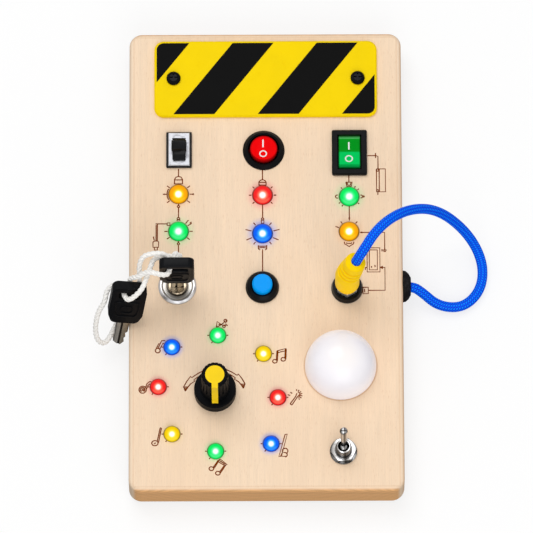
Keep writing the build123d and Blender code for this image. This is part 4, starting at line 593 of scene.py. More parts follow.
def rocker_plastic(name, colour, middle, reach, lit_and_shaded_halves=None):
    """Glossy see-through switch plastic, with painted shade along its edges and in the gap round it and faint
    painted sheen.

    Middle is the rocker's middle on the panel, and reach its half length to each side, in millimetres.
    """
    finish = Finish(name, colour, gloss=0.0)
    streak = finish.noise(1.6, detail=3, stretch=(1, 5, 1))
    depth = finish.noise(5)
    x = finish.axis("X") - middle[0] * MM
    y = finish.axis("Y") - middle[1] * MM
    if lit_and_shaded_halves:
        out = (abs(x) / (reach[0] * MM)).most(abs(y) / (reach[1] * MM))
        # Painted light and shade: the lower half in the lit colour and the upper half in the shaded one.
        body = finish.mix(finish.past(y, -0.5, 0.5), *lit_and_shaded_halves)
        # Painted highlight: a light line along the top bevel.
        body = finish.mix(finish.past(y, reach[1] - 1.5, reach[1] - 1.1) * 0.45, body, paint(120, 214, 140))
    else:
        out = finish.length(finish.node("CombineXYZ", {}, {0: x, 1: y})) / (reach[0] * MM)
        body = colour
    body = finish.shade(body, depth, 0.88, 1.1)
    # Painted shade: darker along the edges, and nearly black in the gap round the rocker.
    body = finish.mix(finish.step(out, 0.86, 0.97) * 0.55, body, darker(colour, 0.3))
    body = finish.mix(finish.step(out, 0.99, 1.01), body, darker(colour, 0.05))
    # Painted sheen: faint pale streaks.
    body = finish.mix(streak * 0.05, body, towards(colour, (1, 1, 1), 0.12))
    return finish.surface(body, streak * 0.1 + 0.24, streak + depth * 0.4, 0.02, 0.3)


def boot_plastic(colours):
    """Soft yellow plastic with a faint painted glow, painted shade in the grooves between the boot's ribs,
    and deeper towards its lower end.
    """
    # Painted light: the boot glows faintly yellow, though it is no lamp.
    finish = Finish("boot_yellow", colours.boot_yellow, gloss=0.08, light=1.0, glow=(0.13, 0.075, 0.0, 1.0))
    lean = Vector((4.6, 0.7, 20.0)).to_track_quat("Z", "Y").to_euler()
    up = finish.axis("Z", finish.point(centre=(SOCKET[0] * MM, SOCKET[1] * MM, 44.0 * MM), turn=lean))
    groove = finish.fall(((up - 6.2 * MM) / (3.49 * MM)).to_and_fro(0.5), 0.08, 0.26)
    groove = groove * (finish.past(up, 4.6, 5.2) * finish.within(up, 14.4, 15.0))
    grain = finish.noise(0.4)
    body = finish.shade(colours.boot_yellow, finish.noise(5, detail=3), 0.92, 1.05)
    body = finish.mix(finish.within(finish.axis("Z"), 28, 40) * 0.3, body, paint(244, 178, 0))
    # Painted shade in the grooves between the ribs.
    body = finish.mix(groove * 0.7, body, paint(222, 158, 0))
    return finish.surface(body, grain * 0.12 + 0.36, grain * 0.3 + groove * -1.5, 0.05, 0.5)


def blade_nickel(body, place):
    """Bright nickel, drawn lengthwise, with painted reflections in bands across it and painted shadow in the
    blade's long groove.
    """
    finish = Finish(body + "_nickel", paint(206, 203, 196), metal=1.0)
    here = finish.point(centre=place.translation, turn=place.to_euler())
    drawn = finish.node("Mapping", {}, {"Vector": here, "Scale": (1, 0.05, 1)})
    lines = finish.noise(0.3, drawn, detail=3, roughness=0.65)
    # Painted reflections and shade: bright bands on the flats, darker at the edges and in the long groove.
    bands = finish.ramp(finish.axis("X", here) / (7.0 * MM) + 0.5, painted(
        (0.0, 96, 92, 88), (0.10, 226, 223, 216), (0.34, 246, 242, 234), (0.40, 52, 48, 44),
        (0.50, 74, 68, 62), (0.56, 224, 214, 196), (0.86, 186, 176, 160), (1.0, 110, 104, 98),
    ))
    return finish.surface(finish.shade(bands, lines, 0.75, 1.2), lines * 0.12 + 0.16, lines, 0.02, 0.4)


def lock_chrome():
    """Polished chrome with painted reflections and shade in rings: a bright lip, a darker step inside it and
    a greyer outer band.
    """
    finish = Finish("lock_chrome", paint(205, 205, 208), metal=1.0)
    marks = finish.noise(0.3, detail=3, roughness=0.6)
    prints = finish.step(finish.noise(3, detail=3), 0.5, 0.75)
    # Painted reflections and shade: bright and dark rings round the lock's middle stand for what the polished
    # chrome mirrors.
    rings = finish.ramp(finish.away(*LOCK) / (10.4 * MM), painted(
        (0.0, 60, 54, 48), (0.50, 96, 88, 78), (0.56, 52, 48, 44), (0.62, 176, 170, 160),
        (0.74, 214, 212, 210), (0.82, 150, 147, 143), (0.88, 236, 236, 238), (1.0, 196, 196, 198),
    ))
    rings = finish.shade(rings, finish.noise(9, detail=0, stretch=(1, 3, 1)), 0.75, 1.2)
    worn = finish.mix(prints * 0.06, rings, paint(110, 106, 100))
    return finish.surface(worn, marks * 0.1 + prints * 0.06 + 0.28, marks, 0.01, 0.15)


def toggle_metal(name, reach, threaded=0.0):
    """Nickel plate with painted reflections in bands, painted shade round and inside the bushing and at the
    nut's edge, and threaded on its outside.
    """
    finish = Finish(name, paint(190, 190, 192), metal=1.0)
    out = finish.away(*TOGGLE)
    z = finish.axis("Z")
    marks = finish.noise(0.25, detail=3, roughness=0.65, stretch=(1, 1, 0.1))
    prints = finish.step(finish.noise(2.4, twist=0.5), 0.5, 0.8)
    thread = z.wave(0.75) * threaded
    # Painted reflections: bright and dark bands across the metal, from side to side.
    shine = finish.ramp((finish.axis("X") - TOGGLE[0] * MM) / (2 * reach * MM) + 0.5, painted(
        (0.0, 60, 58, 56), (0.22, 150, 148, 146), (0.36, 235, 235, 236), (0.46, 210, 210, 210),
        (0.58, 96, 92, 88), (0.72, 170, 168, 166), (0.86, 220, 220, 221), (1.0, 84, 82, 80),
    ))
    clean = finish.shade(shine, marks * 0.6 + finish.noise(4.5, detail=1) * 0.4, 0.72, 1.1)
    # Fingerprints, and painted shade in the roots of the thread.
    worn = finish.mix(prints * 0.18 + thread * 0.4, clean, paint(66, 62, 58))
    # Painted shade: a dark ring round the bushing and a dark band at the nut's outer edge.
    groove = finish.past(out, 4.1, 4.3) * finish.within(out, 4.6, 5.1)
    worn = finish.mix((groove * 0.85).most(finish.past(out, 6.3, 6.9) * 0.75), worn, paint(40, 37, 34))
    # Painted shade: nearly black inside the bushing's bore.
    bore = finish.within(out, 3.1, 3.4) * finish.fall(z, PANEL + 8.6 * MM, PANEL + 9.6 * MM)
    worn = finish.mix(bore * 0.93, worn, paint(26, 24, 22))
    return finish.surface(worn, prints * 0.14 + marks * 0.1 + 0.14, thread * 4 + marks * 0.3, 0.06, 0.5)


# ---- making pieces


def settings(context):
    """The colours and sizes that the scene keeps."""
    return context.scene.busy_board_colours, context.scene.busy_board_sizes


class Build:
    """What the operators share: each builds its pieces from the scene's colours and sizes."""

    def execute(self, context):
        self.build(*settings(context))
        return {"FINISHED"}


def dress(finish, *names):
    """Gives CAD nodes a finish."""
    for name in names:
        node = NODES[name]
        if not node.material_slots:
            node.data.materials.append(None)
        for slot in node.material_slots:
            slot.material = finish


def add(name, data):
    """A new object in the scene."""
    made = bpy.data.objects.new(name, data)
    bpy.context.scene.collection.objects.link(made)
    return made


def piece(name, mesh, finish, body):
    """A finished mesh as a piece of the board that moves with a body."""
    mesh.name = name
    mesh.materials.clear()
    mesh.materials.append(finish)
    mesh.polygons.foreach_set("use_smooth", [True] * len(mesh.polygons))
    made = add(name, mesh)
    if body:
        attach(made, body)
    return made


def shape_of(node):
    """A CAD node's shape, to work on."""
    shape = bmesh.new()
    shape.from_mesh(NODES[node].data)
    return shape


def mesh_of(shape, outwards=True):
    """The bmesh as a mesh, with its faces turned outwards unless they are already."""
    if outwards:
        bmesh.ops.recalc_face_normals(shape, faces=shape.faces)
    mesh = bpy.data.meshes.new("piece")
    shape.to_mesh(mesh)
    shape.free()
    return mesh


def merge(shape, distance=1e-7):
    """Merges the shape's doubled vertices."""
    bmesh.ops.remove_doubles(shape, verts=shape.verts, dist=distance)


def new_verts(grown):
    """The vertices that an extrusion has made."""
    return [v for v in grown["geom"] if isinstance(v, bmesh.types.BMVert)]


def upright(origin, across, facing):
    """A matrix that puts X along across, Z along facing and the origin in place."""
    right = Vector(across).normalized()
    out = Vector(facing).normalized()
    turn = Matrix((right, out.cross(right).normalized(), out)).transposed().to_4x4()
    return Matrix.Translation(Vector(origin)) @ turn


def curve_mesh(name, runs, thick=0.0, sides=3, smooth=False):
    """The runs of points, in metres, as a mesh of round bars of that thickness, or as bare lines."""
    curve = bpy.data.curves.new(name, "CURVE")
    curve.dimensions = "3D"
    curve.resolution_u = 24
    curve.bevel_depth = thick / 2
    curve.bevel_resolution = sides
    curve.use_fill_caps = thick > 0
    for run in runs:
        spline = curve.splines.new("NURBS" if smooth else "POLY")
        spline.points.add(len(run) - 1)
        for point, place in zip(spline.points, run):
            point.co = (*place, 1)
        if smooth:
            spline.order_u = 3
            spline.use_endpoint_u = True
    bar = add(name, curve)
    bpy.context.view_layer.update()
    mesh = bpy.data.meshes.new_from_object(bar.evaluated_get(bpy.context.evaluated_depsgraph_get()))
    bpy.data.objects.remove(bar)
    return mesh


def even_points(name, route, step):
    """Points a step apart on the smooth line that a route of control points draws, and its length."""
    line = curve_mesh(name, [mm_route(route)], smooth=True)
    points = [vertex.co.copy() for vertex in line.vertices]
    bpy.data.meshes.remove(line)
    lengths = [0.0]
    for a, b in zip(points, points[1:]):
        lengths.append(lengths[-1] + (b - a).length)
    count = max(2, round(lengths[-1] / step))
    places = []
    at = 0
    for n in range(count + 1):
        want = lengths[-1] * n / count
        while at < len(points) - 2 and lengths[at + 1] < want:
            at += 1
        share = (want - lengths[at]) / max(lengths[at + 1] - lengths[at], 1e-12)
        places.append(points[at].lerp(points[at + 1], min(max(share, 0), 1)))
    return places, lengths[-1]


def strands(points, length, count, lay, offset):
    """Lines that wind round a line together, offset from it, one turn to each lay."""
    runs = [[] for _ in range(count)]
    side = (points[1] - points[0]).orthogonal().normalized()
    for n, here in enumerate(points):
        ahead = (points[min(n + 1, len(points) - 1)] - points[max(n - 1, 0)]).normalized()
        side = (side - ahead * side.dot(ahead)).normalized()
        other = ahead.cross(side)
        turn = 2 * math.pi * length * n / (len(points) - 1) / lay
        for k, run in enumerate(runs):
            angle = turn + 2 * math.pi * k / count
            run.append(here + (side * math.cos(angle) + other * math.sin(angle)) * offset)
    return runs


def mm_route(points):
    """A route of millimetre points in metres."""
    return [Vector(point) * MM for point in points]


def raised_rim(points, corner, width, matrix):
    """A flat outline with rounded corners, given in millimetres, as a rim of that width."""
    height = 0.5 * MM
    rounding = {"profile": 0.5, "material": -1}
    shape = bmesh.new()
    shape.faces.new([shape.verts.new((x * MM, y * MM, 0)) for x, y in points])
    bmesh.ops.bevel(shape, geom=shape.verts[:], offset=corner * MM, affect="VERTICES", segments=5, **rounding)
    shape.faces.ensure_lookup_table()
    inner = shape.faces[0]
    bmesh.ops.inset_region(shape, faces=[inner], thickness=width, use_boundary=True, use_even_offset=True)
    bmesh.ops.delete(shape, geom=[inner], context="FACES_ONLY")
    grown = bmesh.ops.extrude_face_region(shape, geom=shape.faces[:])
    bmesh.ops.translate(shape, vec=(0, 0, height), verts=new_verts(grown))
    sharp = [
        edge for edge in shape.edges
        if min(v.co.z for v in edge.verts) > height * 0.9
        and len(edge.link_faces) == 2 and edge.calc_face_angle(0) > 0.7
    ]
    bmesh.ops.bevel(shape, geom=sharp, offset=height * 0.45, affect="EDGES", segments=2, **rounding)
    merge(shape)
    bmesh.ops.transform(shape, matrix=matrix, verts=shape.verts)
    return mesh_of(shape)


def softened(name, node, finish, body, width, segments=3):
    """A CAD node's own shape with its sharp edges rounded, standing for the node."""
    shape = shape_of(node)
    merge(shape, 2e-6)
    bmesh.ops.dissolve_limit(shape, angle_limit=math.radians(2), verts=shape.verts, edges=shape.edges)
    made = piece(name, mesh_of(shape), finish, body)
    edge = made.modifiers.new("soft edges", "BEVEL")
    edge.width = width
    edge.segments = segments
    edge.limit_method = "ANGLE"
    edge.angle_limit = math.radians(38)
    edge.use_clamp_overlap = True
    edge.harden_normals = True
    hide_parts(node)


# ---- the stage


class BUSYBOARD_OT_stage(Build, bpy.types.Operator):
    """Makes the floor, the soft lights, the white surroundings and the camera"""

    bl_idname = "busy_board.stage"
    bl_label = "Stage and camera"

    def build(self, colours, sizes):
        scene = bpy.context.scene
        scene.view_settings.view_transform = "Standard"
        scene.camera = self.camera()
        scene.world = self.surroundings()
        ground = bmesh.new()
        bmesh.ops.create_grid(ground, x_segments=8, y_segments=8, size=3.0)
        floor = piece("floor", mesh_of(ground), self.floor_finish(), None)
        self.lamp("key_light", (-0.42, 0.86, 1.88), 1.3, 16.2)
        self.lamp("front_light", (0.3, -1.5, 1.1), 1.6, 13.0)

    def camera(self):
        """A long lens that looks down on the board from its near side."""
        roll, away = math.radians(-0.208), 4.411
        focal, sensor = 8050 / 533, 36     # focal length in picture widths, width in millimetres
        aim = Vector((0.333, -3.928, 21.5)) * MM
        back = Vector((0, -math.sin(TILT), math.cos(TILT)))
        across = Vector((1, 0, 0))
        lens = bpy.data.cameras.new("board_camera")
        lens.sensor_width = sensor
        lens.lens = focal * sensor
        lens.clip_end = 30
        made = add("board_camera", lens)
        right = across * math.cos(roll) + back.cross(across) * math.sin(roll)
        made.matrix_world = upright(aim + back * away, right, back)
        return made

    def lamp(self, name, place, size, power):
        light = bpy.data.lights.new(name, "AREA")
        light.size = size
        light.energy = power
        made = add(name, light)
        made.location = place
        made.rotation_euler = Vector(place).to_track_quat("Z", "Y").to_euler()

    def floor_finish(self):
        """A pale floor that the camera sees as white, but for the board's shadow."""
        finish = Finish("floor", (0.26, 0.26, 0.26), rough=1.0, gloss=0.0)
        seen = finish.node("LightPath", output="Is Camera Ray")
        glow = finish.node("Emission", {}, {"Color": (1, 1, 1), "Strength": seen * 0.745})
        both = finish.node("AddShader", {}, {0: Link(finish.tree, finish.shader.outputs[0]), 1: glow})
        finish.tree.links.new(both.socket, finish.tree.nodes["Material Output"].inputs["Surface"])
        return finish.material

    def surroundings(self):
        """Soft light all round, brighter where the camera or a shiny piece looks past the board."""
        world = bpy.data.worlds.new("surroundings")
        world.use_nodes = True
        tree = world.node_tree
        soft = tree.nodes["Background"]
        soft.inputs["Color"].default_value = (1, 1, 1, 1)
        soft.inputs["Strength"].default_value = 0.5
        white = tree.nodes.new("ShaderNodeBackground")
        path = tree.nodes.new("ShaderNodeLightPath")
        rays = [Link(tree, path.outputs[f"Is {kind} Ray"]) for kind in ("Camera", "Glossy", "Transmission")]
        either = tree.nodes.new("ShaderNodeMixShader")
        for slot, socket in enumerate((reduce(Link.most, rays).socket, soft.outputs[0], white.outputs[0])):
            tree.links.new(socket, either.inputs[slot])
        tree.links.new(either.outputs[0], tree.nodes["World Output"].inputs["Surface"])
        return world


# ---- the two cords

KEY_CORD = [
    (-75, -22.2, 39.5), (-74.4, -20.8, 43.6), (-73.8, -19.7, 48.3), (-69.5, -20.9, 53),
    (-65.4, -19.5, 57), (-61.6, -20.6, 59.8), (-57.4, -21.8, 59.2), (-53.8, -21.5, 57.6),
    (-52.2, -18.8, 56.4), (-52.2, -13, 56.3), (-53.4, -10.2, 56.9), (-57, -9.2, 58.6),
    (-62, -9.4, 58.9), (-67, -10.2, 56.6), (-69, -13.5, 51.8), (-68.8, -20.4, 47.7),
    (-69.1, -22.4, 40.3), (-71.8, -26.2, 33), (-77.6, -28.9, 27.5), (-80.1, -32, 20.4),
    (-82.4, -34.8, 12.7), (-87.5, -43.6, 8), (-91.8, -44.2, 12.2), (-93.4, -40.9, 18),
    (-93, -36.4, 25), (-91.1, -32.3, 31.5), (-87.8, -29.6, 37), (-87, -24.6, 40.2),
    (-83.9, -21.8, 41.9), (-79.8, -20.8, 42.6), (-77.6, -24.2, 43.9), (-77.3, -28.4, 45.7),
    (-75.3, -32.4, 47.2), (-71.5, -31.3, 50), (-67.1, -27.7, 52.8), (-64.7, -20.7, 52.4),
    (-62.5, -14.6, 53.2), (-61.2, -10.8, 53.6), (-56.6, -9, 53.2), (-51, -8.8, 52.8),
]
PATCH_CABLE = [
    (47.65, -16.4, 58.15), (50.4, -16, 70.2), (61.5, 0.6, 75), (77.5, 14.6, 63), (94.5, 21.6, 42),
    (111, 17, 17), (119.6, 4.5, 4.2), (118.6, -11, 2.9), (108.8, -21.8, 2.9), (94.8, -21.6, 4.4),
    (85, -14.6, 9.9), (80.3, -12.3, 11.5), (70.5, -12.3, 11.5),
]


class BUSYBOARD_OT_key_cord(Build, bpy.types.Operator):
    """Twists the white cord that joins the two keys, with a knot at each end"""

    bl_idname = "busy_board.key_cord"
    bl_label = "Key cord"

    def build(self, colours, sizes):
        finish = cotton(colours)
        places, length = even_points("key_cord_line", KEY_CORD, 0.45 * MM)
        strand = sizes.cord_diameter * 0.54
        offset = (sizes.cord_diameter - strand) / 2
        runs = strands(places, length, sizes.cord_strands, sizes.cord_lay, offset)
        rope = piece("key_cord_rope", curve_mesh("key_cord_rope", runs, strand, sides=2), finish, None)
        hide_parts("key_cord")
        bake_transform(rope)
        ends = [("cord_knot_spare", places[0], places[1]), ("cord_knot_key", places[-1], places[-2])]
        knots = [self.knot(name, end, before, finish, strand) for name, end, before in ends]
        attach(knots[0], "spare_key")
        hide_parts("cord_knots")
        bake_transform(knots[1])
        places[::4] + places[-1:]

    def knot(self, name, end, before, finish, strand):
        """An overhand knot pulled tight: three loops of cord through each other and a short frayed tail."""
        radius, steps = 1.62, 28
        out = (end - before).normalized()
        middle = end + out * 2.3 * MM
        facing = out.to_track_quat("Z", "Y").to_matrix().to_4x4()
        runs = []
        for k, (lean, spin) in enumerate(((0.0, 0.0), (1.05, 0.9), (1.05, 3.1))):
            turn = Matrix.Rotation(spin, 4, "Z") @ Matrix.Rotation(lean, 4, "X")
            around = []
            for n in range(steps):
                angle = 2 * math.pi * n / steps
                wobble = 0.16 * math.sin(3 * angle + k)
                place = Vector((radius * math.cos(angle), radius * math.sin(angle), wobble)) * MM
                around.append(middle + facing @ (turn @ place))
            runs += strands(around + around[:1], 2 * math.pi * radius * MM, 3, 5.1 * MM, 0.55 * MM)
        for k in range(5):
            angle = 2 * math.pi * k / 5
            side = facing @ Vector((math.cos(angle), math.sin(angle), 0))
            tail = ((1.2, 0.3), (2.2, 0.6), (3.0, 1.0))
            runs.append([middle + out * far * MM + side * wide * MM for far, wide in tail])
        return piece(name, curve_mesh(name, runs, strand * 0.8, sides=2), finish, None)


class BUSYBOARD_OT_patch_cable(Build, bpy.types.Operator):
    """Makes the braided blue patch cable from the plug's boot to the grommet in the board's side"""

    bl_idname = "busy_board.patch_cable"
    bl_label = "Patch cable"

    def build(self, colours, sizes):
        places, length = even_points("patch_cable_line", PATCH_CABLE, 1.0 * MM)
        mesh = curve_mesh("patch_cable_braid", [places], sizes.cable_diameter, sides=10)
        braid = piece("patch_cable_braid", mesh, braided(colours, sizes, length), None)
        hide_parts("patch_cable")
        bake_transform(braid)


# ---- wood, plate and engraving


class BUSYBOARD_OT_wood(Build, bpy.types.Operator):
    """Gives the case its beech and the back cover its fibre board"""

    bl_idname = "busy_board.wood"
    bl_label = "Wooden case and back cover"

    def build(self, colours, sizes):
        dress(beech(colours, sizes), "case")
        dress(fibre_board(), "back_cover")


class Engraver:
    """Draws lines on the panel, in millimetres from the drawing's own middle, x and y by turns."""

    def __init__(self, place):
        self.x, self.y = place[:2]
        self.runs = []

    def line(self, *numbers):
        points = zip(numbers[::2], numbers[1::2])
        self.runs.append([Vector((self.x + x, self.y + y, 0)) * MM for x, y in points])
        return self

    def loop(self, *numbers):
        return self.line(*numbers, *numbers[:2])

    def arc(self, x, y, radius, start=0, end=360, tall=1.0):
        steps = max(6, round(abs(end - start) / 15))
        turns = [math.radians(start + (end - start) * n / steps) for n in range(steps + 1)]
        places = [(x + radius * math.cos(a), y + radius * tall * math.sin(a)) for a in turns]
        return self.line(*sum(places, ()))

    def rays(self, near, far, *turns, x=0, y=0):
        """Short lines from near to far of a place, one for each turn in degrees."""
        for turn in turns:
            c, s = math.cos(math.radians(turn)), math.sin(math.radians(turn))
            self.line(x + near * c, y + near * s, x + far * c, y + far * s)
        return self

    def bulb_foot(self, low, wide, tall):
        """The foot of a lamp sign: a cap with two bands and a rounded end."""
        half = wide / 2
        side, slant = low + tall * 0.62, low + tall * 0.92
        self.line(-half, low, -half, side, -half * 0.62, slant, 0, low + tall,
                  half * 0.62, slant, half, side, half, low)
        for band in (low + tall * 0.56, low + 0.25):
            self.line(-half, band, half, band)
        return self

    def note(self, x, y, head, stem, lean):
        """A quaver's outlined head and double stem, leaning to the right by lean."""
        self.arc(x, y, head, tall=0.85)
        for right, up in ((0.72, 0.5), (1.15, 0.1)):
            self.line(x + head * right, y + head * up, x + head * right + lean, y + stem)
        return self


AMBER, GREEN, RED, BLUE, YELLOW = LAMPS.values()


def circuits():
    """The signs round the large lamps, column by column, and the fuse at the green switch."""
    return [
        Engraver(AMBER[0]).line(0, 14.8, 0, 10.6).bulb_foot(5.8, 4.4, 4.6).rays(6.1, 8.6, 0, 180)
        .rays(6.1, 8, 38, 142, 218, 322).line(8, 0.5, 8, -0.5).line(-7.9, 0.4, -7.9, -0.4)
        .arc(0, 0, 6.3, 150, 212).line(0, -5.6, 0, -6.6).arc(0, -7.2, 0.6).line(0, -7.8, 0, -13.6)
        .arc(0, -14.3, 0.7).line(-0.9, -15.6, -0.6, -14.8, 0.6, -14.8, 0.9, -15.6),
        Engraver(GREEN[0]).rays(6, 7.8, 0, 180, 215, 322).rays(6, 8.6, 33, 50)
        .line(6.4, 4.2, 7.2, 5.4, 6.2, 5).loop(-6.2, 3.5, -6.2, 5, -4.7, 5, -4.7, 3.5)
        .line(-6.2, 4.4, -12.6, 4.4).line(-11.6, 4.4, -11.6, -5.6).line(-12.3, 3.8, -12.3, -5.6)
        .line(-13.8, -3, -13.3, -5.2)
        .loop(-14, -6.2, -13.2, -5.6, -11.4, -5.6, -10.9, -6.2, -10.9, -9.2, -14, -9.2)
        .line(-13.2, -9.2, -13.2, -10.8, -11.6, -10.8, -11.6, -9.2).line(0, -5.6, 0, -6.6)
        .arc(0, -7.2, 0.6).line(0, -7.8, 0, -13.2),
        Engraver(RED[0]).line(0, 14.6, 0, 9.2).bulb_foot(5.6, 3.9, 3.4).rays(6.1, 7.6, 0, 180)
        .rays(6.1, 7.4, 42, 138, 222, 318).line(6.8, 0.4, 6.8, -0.4).line(0, -5.6, 0, -13.2)
        .arc(0, -13.9, 0.6).loop(-0.7, -14.6, 0.7, -14.6, 0.7, -16.4, -0.7, -16.4),
        Engraver(BLUE[0]).rays(6.2, 9.6, 14, 166, 203, 337).rays(6.2, 8, 52, 128, 232, 308)
        .line(-2.3, -6.8, -2.3, -9, -1.3, -9.6).line(2.3, -6.8, 2.3, -9, 1.3, -9.6)
        .line(-2.3, -7.4, 2.3, -7.4).line(-2.3, -8.6, -0.9, -8.2, 0.9, -8.2, 2.3, -8.6)
        .line(0, -9.2, 0, -22.2),
        Engraver(GREEN[1]).line(-0.1, 12.8, -0.1, 8.4)
        .line(-1.7, 8.4, -1.2, 5.9, 1.2, 5.9, 1.7, 8.4, -1.7, 8.4)
        .line(-1.1, 8.4, -0.7, 6.6, 0.7, 6.6, 1.1, 8.4).rays(6, 7, 40, 60, 130, 215, 235, 322)
        .arc(-6.6, 0, 0.9, 60, 300).arc(6.6, 0, 0.8, -120, 120).line(7.4, 0, 8.6, 0)
        .line(8, 0.6, 8, -0.6).line(0, -5.6, 0, -14).line(-0.5, -12.6, 0.5, -12.6),
        Engraver(AMBER[1]).rays(6, 8, 158).rays(6, 7.4, 52, 128)
        .line(-2.6, -6, -2.4, -7.2, 0, -8.8, 2.4, -7.2, 2.6, -6)
        .line(-1.4, -6.4, -1.2, -7, 1.2, -7, 1.4, -6.4).line(6, -0.6, 12.8, -0.6)
        .line(7, -0.1, 7, -1.1).line(12.8, -0.6, 19.5, -0.6, 19.5, -11)
        .line(18.4, -10.9, 20.6, -10.9).line(18.8, -11.7, 20.2, -11.7).line(18, -11.7, 18, -10.4)
        .loop(9.8, -9.6, 16.8, -9.6, 16.8, -23.6, 9.8, -23.6)
        .loop(11, -10.8, 15.4, -10.8, 15.4, -22.4, 11, -22.4).line(12.2, -20.2, 12.2, -21.2)
        .line(14, -19.6, 14, -20.6, 14.6, -20.1).line(9.8, -21, 8.8, -21, 8.8, -22.4)
        .line(16.8, -21, 19.5, -21, 19.5, -34.3, 10.4, -34.3).line(18.1, -20.1, 18.1, -21.9)
        .line(17.5, -20.4, 17.5, -21.6).loop(7.4, -32.5, 10.3, -32.5, 10.3, -36.2, 7.4, -36.2)
        .line(8.3, -33.3, 8.3, -35.4),
        Engraver((46.2, 62)).line(9.9, -1.4, 14.4, -1.4).line(14.4, 0.1, 14.4, -2.8)
        .line(14.4, -1.4, 15.7, -1.8, 15.7, -9).loop(14.8, -9.2, 19.7, -9.2, 19.7, -22.6, 14.8, -22.6)
        .line(16.3, -9.2, 16.3, -22.6).arc(15.5, -9.9, 0.6).arc(15.5, -22, 0.6)
        .line(15.5, -22.6, 15.5, -24.4),
    ]


def ticks():
    """Three short rays at each small lamp."""
    lamps = [lamp for places in LAMPS.values() for lamp in places if lamp[2] == SMALL]
    return [Engraver(lamp).rays(4.8, 5.7, 0, 180, 232) for lamp in lamps]


def music():
    """The signs beside the ring of lamps, one for each."""
    return [
        Engraver(YELLOW[0]).note(6.2, -4.4, 1.2, 6, 0.3).note(10.8, -3.3, 1.2, 6, 0.3)
        .line(7.4, 1.6, 12.3, 2.9, 12.3, 1.7, 7.4, 0.5),
        Engraver(YELLOW[1]).note(-9.3, -5.2, 1.7, 8.6, 1.6).line(-6.5, 3.4, -5.8, 3.6)
        .line(-9.9, -5.6, -8.8, -5),
        Engraver(GREEN[3]).note(-2.3, -10, 1.25, 4.4, 2.6).note(1.2, -12.6, 1.25, 4.6, 2.8)
        .line(1, -5.6, 2.6, -4.6, 6.2, -7.6, 4.6, -8.6).line(1.5, -6.1, 4.8, -8.1)
        .line(2, -5.3, 5.4, -7.6),
        Engraver(BLUE[2]).loop(7.6, 5.2, 8.8, 5.4, 5.6, -7.2, 4.2, -7.4)
        .arc(7.6, -4.2, 1.5, -60, 210).line(6.3, -4.8, 5, -7.2, 8, -7.3)
        .arc(7.4, -6.4, 1.3, -80, 120),
        Engraver(RED[1]).line(7.6, -4.4, 10.6, 0.2, 11.8, 1.6).line(6.6, -3.8, 9.6, 0.4, 10.4, 2.4)
        .line(6.6, -3.8, 7.6, -4.4).arc(10.2, 1.4, 1.9, -60, 70)
        .rays(2.3, 3.2, *range(-60, 91, 25), x=10.2, y=1.4)
        .line(5.4, 1.6, 6.6, 1).line(6.8, 3, 7.8, 2.2),
        Engraver(RED[2]).arc(-8.5, -1.6, 2).arc(-8.5, -1.6, 1.2, -60, 240).arc(-8.3, -1.7, 0.5)
        .line(-6.9, -0.4, -6.2, 1.8, -4.8, 3, -3.9, 3).line(-6.4, -1.2, -5.6, 0.8, -4.6, 1.8),
        Engraver(BLUE[1]).arc(-7.7, -2, 1.3).line(-7.6, -0.7, -5.6, 3.6, -3.6, 3.8)
        .line(-6.6, -1.2, -4.8, 2.4, -4.2, 1.6).line(-8.4, -0.6, -7.2, 2, -6.6, 1.8),
        Engraver(GREEN[2]).loop(-0.8, 4.6, -0.4, 8, 2, 6.2, 4.6, 8.8, 4.2, 5.2, 2, 6.2)
        .line(0.4, 6.4, 2, 6.2, 3.2, 7.2).arc(4.2, 8.4, 0.8).arc(3.4, 5.2, 0.7)
        .line(4.4, 6.2, 5.4, 5.6),
    ]


def arrows():
    """Two outlined arrows that curve away from the knob, one each way, with filled tips."""
    drawn = Engraver(KNOB)
    runs = [
        [(5.7, 13.3), (8.7, 11.9), (12, 9.8), (12.7, 10.5), (14.7, 7.8), (16.3, 4.8), (15.4, 2.3)],
        [(6.7, 10.8), (9.1, 9.7), (11.1, 8.3), (10.5, 7.6), (12.7, 6.2), (14.1, 4.5), (15.4, 2.3)],
        [(14.2, 4.7), (16.4, 4.8), (15.9, 4.2), (14.5, 4.2), (14.8, 3.7), (15.9, 3.7), (15.5, 3.2),
         (15.1, 3.2), (15.4, 2.5)],
    ]
    for side, lean in ((1, 0), (-1.055, 0.1)):
        for run in runs:
            drawn.line(*sum(((side * x, y - lean * x) for x, y in run), ()))
    return drawn


class BUSYBOARD_OT_engraving(Build, bpy.types.Operator):
    """Burns the circuit signs, the music signs and the knob's arrows into the panel"""

    bl_idname = "busy_board.engraving"
    bl_label = "Engraved lines"

    def build(self, colours, sizes):
        finish = burnt_line(colours)
        drawn = [
            ("engraved_circuits", circuits(), sizes.line_width),
            ("engraved_signs", [*ticks(), *music(), arrows()], sizes.sign_width),
        ]
        for name, drawings, width in drawn:
            mesh = curve_mesh(name, [run for drawing in drawings for run in drawing.runs], width, sides=1)
            flat = Matrix.Diagonal((1, 1, 2 * sizes.line_height / width, 1))
            mesh.transform(Matrix.Translation((0, 0, PANEL)) @ flat)
            piece(name, mesh, finish, "board")


class BUSYBOARD_OT_striped_plate(Build, bpy.types.Operator):
    """Paints the yellow plate, its black stripes and its two screws"""

    bl_idname = "busy_board.striped_plate"
    bl_label = "Striped plate"

    def build(self, colours, sizes):
        dress(painted_plate("plate_yellow", colours.plate_yellow, paint(236, 182, 10)), "hazard_plate")
        dress(painted_plate("plate_black", colours.stripe_black, paint(30, 30, 30), 0.42), "hazard_stripes")
        dress(plated("black_steel", paint(24, 24, 26), rough=0.3, grain=0.4), "plate_screws")


# ---- switches and button


